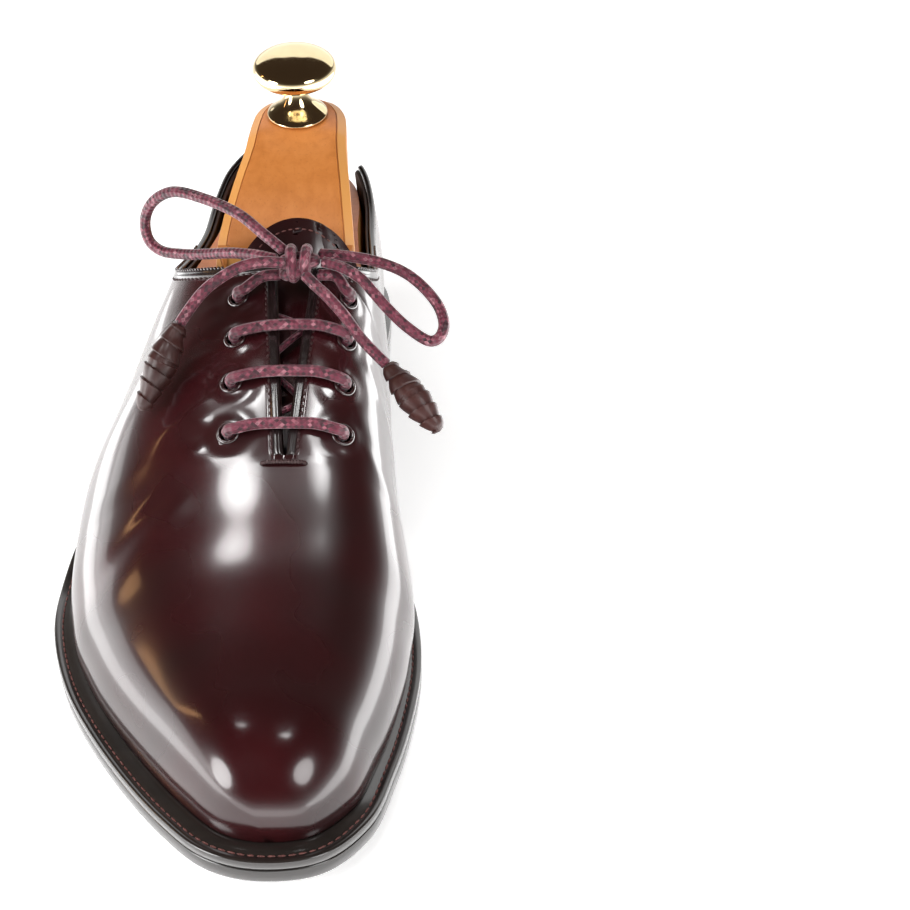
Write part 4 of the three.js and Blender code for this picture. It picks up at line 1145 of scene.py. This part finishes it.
def post_outline():
    arc = [(POST_CENTRE[0] + POST_ROUND * math.cos(a), POST_CENTRE[1] + POST_ROUND * math.sin(a))
           for a in np.linspace(0, math.pi, 11)]
    side = curve_through([(35.2, 46), (34.4, 52), (32.8, 65), (31.3, 78)] + arc
                         + [(-2.9, 78), (-6.4, 65), (-10.4, 52), (-11.6, 46)], per_span=12)
    front = np.stack([np.linspace(-11.6, 35.2, 40)[1:-1], np.full(38, 46.0)], axis=1)
    return np.vstack([spaced(side, 260), front])


def post_mesh():
    outline = post_outline()
    ahead = np.roll(outline, -1, axis=0) - np.roll(outline, 1, axis=0)
    ahead /= np.linalg.norm(ahead, axis=1)[:, None]
    inward = np.stack([-ahead[:, 1], ahead[:, 0]], axis=1)
    top_line = curve_through(POST_TOP)

    def height(y):
        return np.interp(np.clip(y, POST_FRONT_Y, POST_BACK_Y), top_line[:, 0], top_line[:, 1])

    rings = []
    for step, drop, _ in POST_RINGS:
        moved = outline + inward * step
        z = np.full(len(moved), POST_FOOT_Z) if drop is None else height(moved[:, 1]) - drop
        rings.append(np.column_stack([moved, z]))
    count = len(outline)
    chamfer_light_groove_shades = [float(trim) for _, _, trim in POST_RINGS for _ in range(count)]
    faces = grid_faces(len(rings), count, closed_columns=True) + [tuple(range(count))]
    rim = rings[-1][:, :2]
    near = outline + inward * (POST_RINGS[-1][0] + POST_GRID * 0.7)
    inside = [(x, y) for x in np.arange(-20, 45, POST_GRID) for y in np.arange(POST_FRONT_Y, 112, POST_GRID)
              if inside_loop(x, y, near)]
    plan, _, triangles, *_ = geometry.delaunay_2d_cdt([Vector(p) for p in list(rim) + inside], [],
                                                      [list(range(count))], 1, 1e-5)
    start = len(chamfer_light_groove_shades) - count
    plan = np.array([tuple(p) for p in plan])
    extra = np.column_stack([plan[count:], height(plan[count:, 1])])
    points = np.concatenate(rings + [extra])
    faces += [tuple(int(k) + start for k in face) for face in triangles]
    return plain_mesh("post", points, faces, attributes={"trim": chamfer_light_groove_shades + [0.0] * len(extra)})


def make_heel_block():
    floor = [(y, float(feather_z(y)) + TREE_FLOOR) for y in np.linspace(POST_FRONT_Y, 150, 27)]
    body = small_last(TREE_DEPTH, 43)
    cut_with(body, side_prism(floor + [(150, BLOCK_TOP_Z), (POST_FRONT_Y, BLOCK_TOP_Z)]), "INTERSECT")
    body = cut_with(post_mesh(), body, "UNION")
    bore = [(AXIS_START + AXIS * BORE_START, AXIS_START + AXIS * BORE_END)]
    cut_with(body, rods("rod_bore", bore, TREE_ROD_RADIUS + SEAT))
    body.name = "tree_heel_post"
    body.data.materials.clear()
    body.data.materials.append(WOOD)
    body.data.set_sharp_from_angle(angle=math.radians(28))
    return settle(body, "tree_heel", ("tree_heel_block",))


AXIS_START = np.array([LACING_X - 1, -40, 40])
AXIS = np.array([13.4, 66, 60]) - AXIS_START
AXIS /= np.linalg.norm(AXIS)
TREE_ROD_RADIUS = 3.6
BORE_START, BORE_END = 70, 112     # of the rod's bore, in millimetres along the tree's axis
heel_block = make_heel_block()
print("heel block", len(heel_block.data.polygons), "faces, body", "tree_heel")

# %% [markdown]
# The knob is turned brass: a stem that flares into a flange below and a broad mushroom head above. A smooth curve
# through the turner's stations gives the profile, and enough sides keep its reflections clean.

# %% The knob and the spring
FLANGE_SEAT, KNOB_AXIS = (14, 94, 114.4), (0, -0.13, 1)
STUD = [(0, -13), (2.5, -13), (2.5, 0.3)]
KNOB_SURFACE = [(10.1, 0.3), (10.2, 0.9), (9.6, 1.6), (7.6, 3.2), (5.4, 5.2), (3.7, 7.8), (3.1, 9.6), (3.3, 11.2),
                (6.5, 12.1), (10.4, 13.4), (13.1, 15.2), (13.9, 17.4), (13.3, 19.6), (10.6, 21.6), (6.5, 22.9),
                (2.5, 23.35), (0, 23.4)]
knob_profile = STUD + [tuple(p) for p in curve_through(KNOB_SURFACE, per_span=5)]
turned_piece("knob", knob_profile, FLANGE_SEAT, KNOB_AXIS, BRASS, sides=96, body="tree_heel", slot="brass",
             replaces=("tree_knob",))

SPRING_TURNS, SPRING_RADIUS, WIRE_RADIUS = 6, 5.5, 0.9
SPRING_START, SPRING_END = 61.2, 85.45
side_way = np.array([1.0, 0, 0]) - AXIS * AXIS[0]
side_way /= np.linalg.norm(side_way)
up_way = np.cross(AXIS, side_way)
turn = np.linspace(0, 2 * math.pi * SPRING_TURNS, SPRING_TURNS * 28)
coil = (AXIS_START + AXIS * np.linspace(SPRING_START, SPRING_END, len(turn))[:, None]
        + SPRING_RADIUS * (np.cos(turn)[:, None] * side_way + np.sin(turn)[:, None] * up_way))
spring = tube("coil_spring", coil, WIRE_RADIUS, STEEL, sides=12, slot="steel", body="shoe", replaces=("tree_spring",))
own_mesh(spring)

# %% [markdown]
# Stitches repeat along a line, which is what Geometry Nodes are for. The tree takes a line, spaces points along it,
# puts one small rounded stitch on each, turned along the line and a little uneven, and makes it all real mesh.

# %% Stitch tree
STITCH_SEED = 7


def stitch_tree():
    tree = bpy.data.node_groups.new("row_of_stitches", "GeometryNodeTree")
    tree.interface.new_socket("Geometry", in_out="INPUT", socket_type="NodeSocketGeometry")
    for title in ("Pitch", "Stitch Length", "Stitch Width"):
        tree.interface.new_socket(title, in_out="INPUT", socket_type="NodeSocketFloat")
    tree.interface.new_socket("Seed", in_out="INPUT", socket_type="NodeSocketInt")
    tree.interface.new_socket("Thread", in_out="INPUT", socket_type="NodeSocketMaterial")
    tree.interface.new_socket("Geometry", in_out="OUTPUT", socket_type="NodeSocketGeometry")

    def add(kind, settings=None, **inputs):
        made = tree.nodes.new(kind)
        for key, value in (settings or {}).items():
            setattr(made, key, value)
        for title, value in inputs.items():
            socket = made.inputs[title.replace("_", " ")]
            if isinstance(value, bpy.types.NodeSocket):
                tree.links.new(value, socket)
            else:
                socket.default_value = value
        return made.outputs

    given = add("NodeGroupInput")
    line = add("GeometryNodeMeshToCurve", Mesh=given["Geometry"])["Curve"]
    spaced_line = add("GeometryNodeResampleCurve", {"mode": "LENGTH"}, Curve=line, Length=given["Pitch"])["Curve"]
    ball = add("GeometryNodeMeshUVSphere", Segments=8, Rings=6, Radius=0.5)["Mesh"]
    size = add("ShaderNodeCombineXYZ", X=given["Stitch Width"], Y=given["Stitch Width"], Z=given["Stitch Length"])[0]
    stitch = add("GeometryNodeTransform", Geometry=ball, Scale=size)["Geometry"]
    along = add("GeometryNodeInputTangent")[0]
    turned = add("FunctionNodeAlignRotationToVector", {"axis": "Z"}, Vector=along)["Rotation"]
    uneven = add("FunctionNodeRandomValue", {"data_type": "FLOAT_VECTOR"}, Min=(0.9, 0.9, 0.85), Max=(1.1, 1.1, 1.1),
                 Seed=given["Seed"])["Value"]
    row = add("GeometryNodeInstanceOnPoints", Points=spaced_line, Instance=stitch, Rotation=turned,
              Scale=uneven)["Instances"]
    real = add("GeometryNodeRealizeInstances", Geometry=row)["Geometry"]
    finished = add("GeometryNodeSetMaterial", Geometry=real, Material=given["Thread"])["Geometry"]
    add("NodeGroupOutput", Geometry=finished)
    return tree


STITCHES = stitch_tree()


def stitch_row(name, lines, pitch, length, width, thread):
    """Stitches along each line, as one plain mesh."""
    points = np.concatenate(lines) * MM
    starts = np.cumsum([0] + [len(line) for line in lines])
    edges = [(k, k + 1) for a, b in zip(starts, starts[1:]) for k in range(a, b - 1)]
    data = bpy.data.meshes.new(name)
    data.from_pydata(points.tolist(), edges, [])
    made = bpy.data.objects.new(name, data)
    bpy.context.collection.objects.link(made)
    step = made.modifiers.new("stitches", "NODES")
    step.node_group = STITCHES
    values = {"Pitch": pitch * MM, "Stitch Length": length * MM, "Stitch Width": width * MM, "Seed": STITCH_SEED,
              "Thread": thread}
    for item in STITCHES.interface.items_tree:
        if item.item_type == "SOCKET" and item.in_out == "INPUT" and item.name in values:
            step[item.identifier] = values[item.name]
    result = baked(made)
    made.modifiers.clear()
    made.data = result
    shade_faces(result, True)
    print(name, len(result.polygons), "faces")
    return settle(made, "shoe")


# %% Rows of stitches
FACING_COLUMN = int(np.argmin(np.abs(NEAR_EDGE - 3.0)))
BEAD_COLUMN = 0


def edge_line(side, column, sink, y_from=None, y_to=None):
    rows, skin, normal, throat = upper_lines[side]
    keep = slice(throat + 2, len(rows) - 1)
    line = skin[keep, column] + normal[keep, column] * sink
    places = rows[keep]
    if y_from is not None:
        line = line[(places > y_from) & (places < y_to)]
    return line


stitch_row("facing_and_collar_stitches", [edge_line(side, FACING_COLUMN, 0.05) for side in ("outer", "inner")],
           2.2, 1.35, 0.8, SEAM_THREAD)
stitch_row("top_line_beading", [edge_line(side, BEAD_COLUMN, 0.15, 27, 78) for side in ("outer", "inner")],
           1.5, 1.25, 1.0, ENAMEL)
tongue_line = []
for sign in (-1, 1):
    rows = tongue_rows(3.0, 90)
    rows = rows[rows > 8]
    x = LACING_X + sign * tongue_width(rows, 3.0)
    tongue_line.append(flared(on_plan(x, rows, TONGUE_DEPTH - 0.05), x, rows))
tongue_line = np.vstack([tongue_line[0], tongue_line[1][::-1]])
stitch_row("tongue_stitches", [tongue_line], 2.2, 1.5, 0.5, WELT_THREAD)
welt_line = round_line(sole_edge(2.65), above(under, top - 0.3), stop=HEEL_BREAST_Y)
stitch_row("welt_stitches", [spaced(welt_line, 900)], 2.7, 2.3, 0.62, WELT_THREAD)

# %% [markdown]
# Some CAD parts already have the right shape, and only need their finish: the cork, shank and insole under the
# foot, the stiffeners inside the upper, the nails, and the tree's forepart, tube and rod.

# %% Finishes on the CAD parts that stay
def refinish(material, *nodes):
    for node in nodes:
        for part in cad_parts[node].material_slots:
            part.material = material


refinish(CORK, "cork_filler")
refinish(STEEL, "shank", "tree_tube", "tree_rod")
refinish(BARE_LEATHER, "insole")
refinish(LINING, "sock_liner", "heel_counter", "toe_puff")
refinish(BRASS, *[f"heel_nail_{k}" for k in range(1, 6)])
refinish(WOOD, "tree_forepart_inner", "tree_forepart_outer")

# %% [markdown]
# A polished shoe is mostly reflections, so the light matters as much as the leather. The floor and the lower part
# of the room are white, and give the bright bands along both sides. Overhead it is dark, so the leather looks
# deep. Small soft lamps give the highlights on the toe and the vamp, and broad ones behind light the tree.

# %% Floor and light
FLOOR_GLOW = 0.68


def stage_floor():
    floor_finish = Finish("pale_floor", Emission_Strength=FLOOR_GLOW)
    tone = floor_finish.noise(3, detail=1)
    shade = floor_finish.ramp(tone, [(0.0, (0.86, 0.86, 0.86)), (1.0, (0.90, 0.90, 0.90))])
    floor_finish.set(Base_Color=shade, Emission_Color=shade, Roughness=0.7)
    points = np.array([(x, y, 0.0) for x in (-2600, 2600) for y in (-2200, 2600)])
    data = bpy.data.meshes.new("floor")
    data.from_pydata((points * MM).tolist(), [], [(0, 2, 3, 1)])
    data.materials.append(floor_finish.material)
    floor = bpy.data.objects.new("floor", data)
    bpy.context.collection.objects.link(floor)


def lamp(name, target, direction, away, size, power, tint=(1, 1, 1), shows=True, spread=180):
    """A soft lamp that stands away metres from its target, in a direction. It may be left out of reflections."""
    light = bpy.data.lights.new(name, "AREA")
    light.shape = "ELLIPSE"
    light.size, light.size_y = size
    light.energy = power
    light.color = tint
    light.spread = math.radians(spread)
    made = bpy.data.objects.new(name, light)
    way = Vector(direction).normalized()
    made.location = Vector(target) * MM + way * away
    made.rotation_euler = (-way).to_track_quat("-Z", "Y").to_euler()
    made.visible_camera, made.visible_glossy = False, shows
    bpy.context.collection.objects.link(made)


def room():
    """The world: white at and below the horizon, dark overhead."""
    world = bpy.data.worlds.new("room")
    world.use_nodes = True
    tree = world.node_tree
    here = tree.nodes.new("ShaderNodeTexCoord")
    split = tree.nodes.new("ShaderNodeSeparateXYZ")
    node = tree.nodes.new("ShaderNodeValToRGB")
    ramp = node.color_ramp
    tree.links.new(here.outputs["Generated"], split.inputs[0])
    for element in list(ramp.elements)[1:]:
        ramp.elements.remove(element)
    for k, (height, tone) in enumerate(ROOM_TONES):
        element = ramp.elements[0] if k == 0 else ramp.elements.new(height)
        element.position, element.color = height, (*tone, 1)
    tree.links.new(split.outputs["Z"], node.inputs[0])
    tree.links.new(node.outputs[0], tree.nodes["Background"].inputs["Color"])
    tree.nodes["Background"].inputs["Strength"].default_value = 1.0
    bpy.context.scene.world = world


# How bright the room is at each height of the sky, 0 at the horizon and 1 overhead.
ROOM_TONES = [(0.0, (1.0, 1.0, 1.0)), (0.06, (0.65, 0.65, 0.65)), (0.14, (0.22, 0.21, 0.20)),
              (0.28, (0.07, 0.06, 0.05)), (0.5, (0.045, 0.032, 0.024)), (1.0, (0.04, 0.028, 0.022))]
stage_floor()
room()
lamp("toe_left", (7, -135, 32), (-0.89, -0.40, 0.30), 1.0, (0.52, 0.52), 6.0)
lamp("toe_right", (28, -134, 33), (0.66, -0.49, 0.57), 1.0, (0.50, 0.50), 3.6)
lamp("vamp_left", (4, -50, 58), (-0.33, 0.05, 0.94), 0.30, (0.07, 0.09), 0.0055, spread=22)
lamp("vamp_right", (24, -42, 64), (0.16, -0.09, 0.98), 0.30, (0.11, 0.12), 0.012, spread=22)
lamp("warm_strip", (-15, -90, 38), (-0.88, 0.26, 0.40), 0.9, (0.05, 0.30), 0.17, (1.0, 0.55, 0.25))
lamp("back_panel", (10, 0, 60), (0.05, 0.9, 0.42), 1.7, (3.0, 1.2), 11)
lamp("fill", (14, 60, 90), (-0.35, -0.7, 0.9), 1.4, (0.8, 0.8), 12, shows=False)
lamp("table_left", (-440, -20, 1003), (0, 0, -1), 1.0, (0.62, 0.90), 4.6)
lamp("table_right", (430, -20, 1003), (0, 0, -1), 1.0, (0.62, 0.90), 5.2)
lamp("table_front", (10, -330, 1003), (0, 0, -1), 1.0, (0.50, 0.22), 0.4)
lamp("low_panel_left", (-40, 0, 90), (-1, 0.1, 0.02), 0.95, (1.3, 0.22), 1.3)
bpy.context.scene.view_settings.view_transform = "Standard"
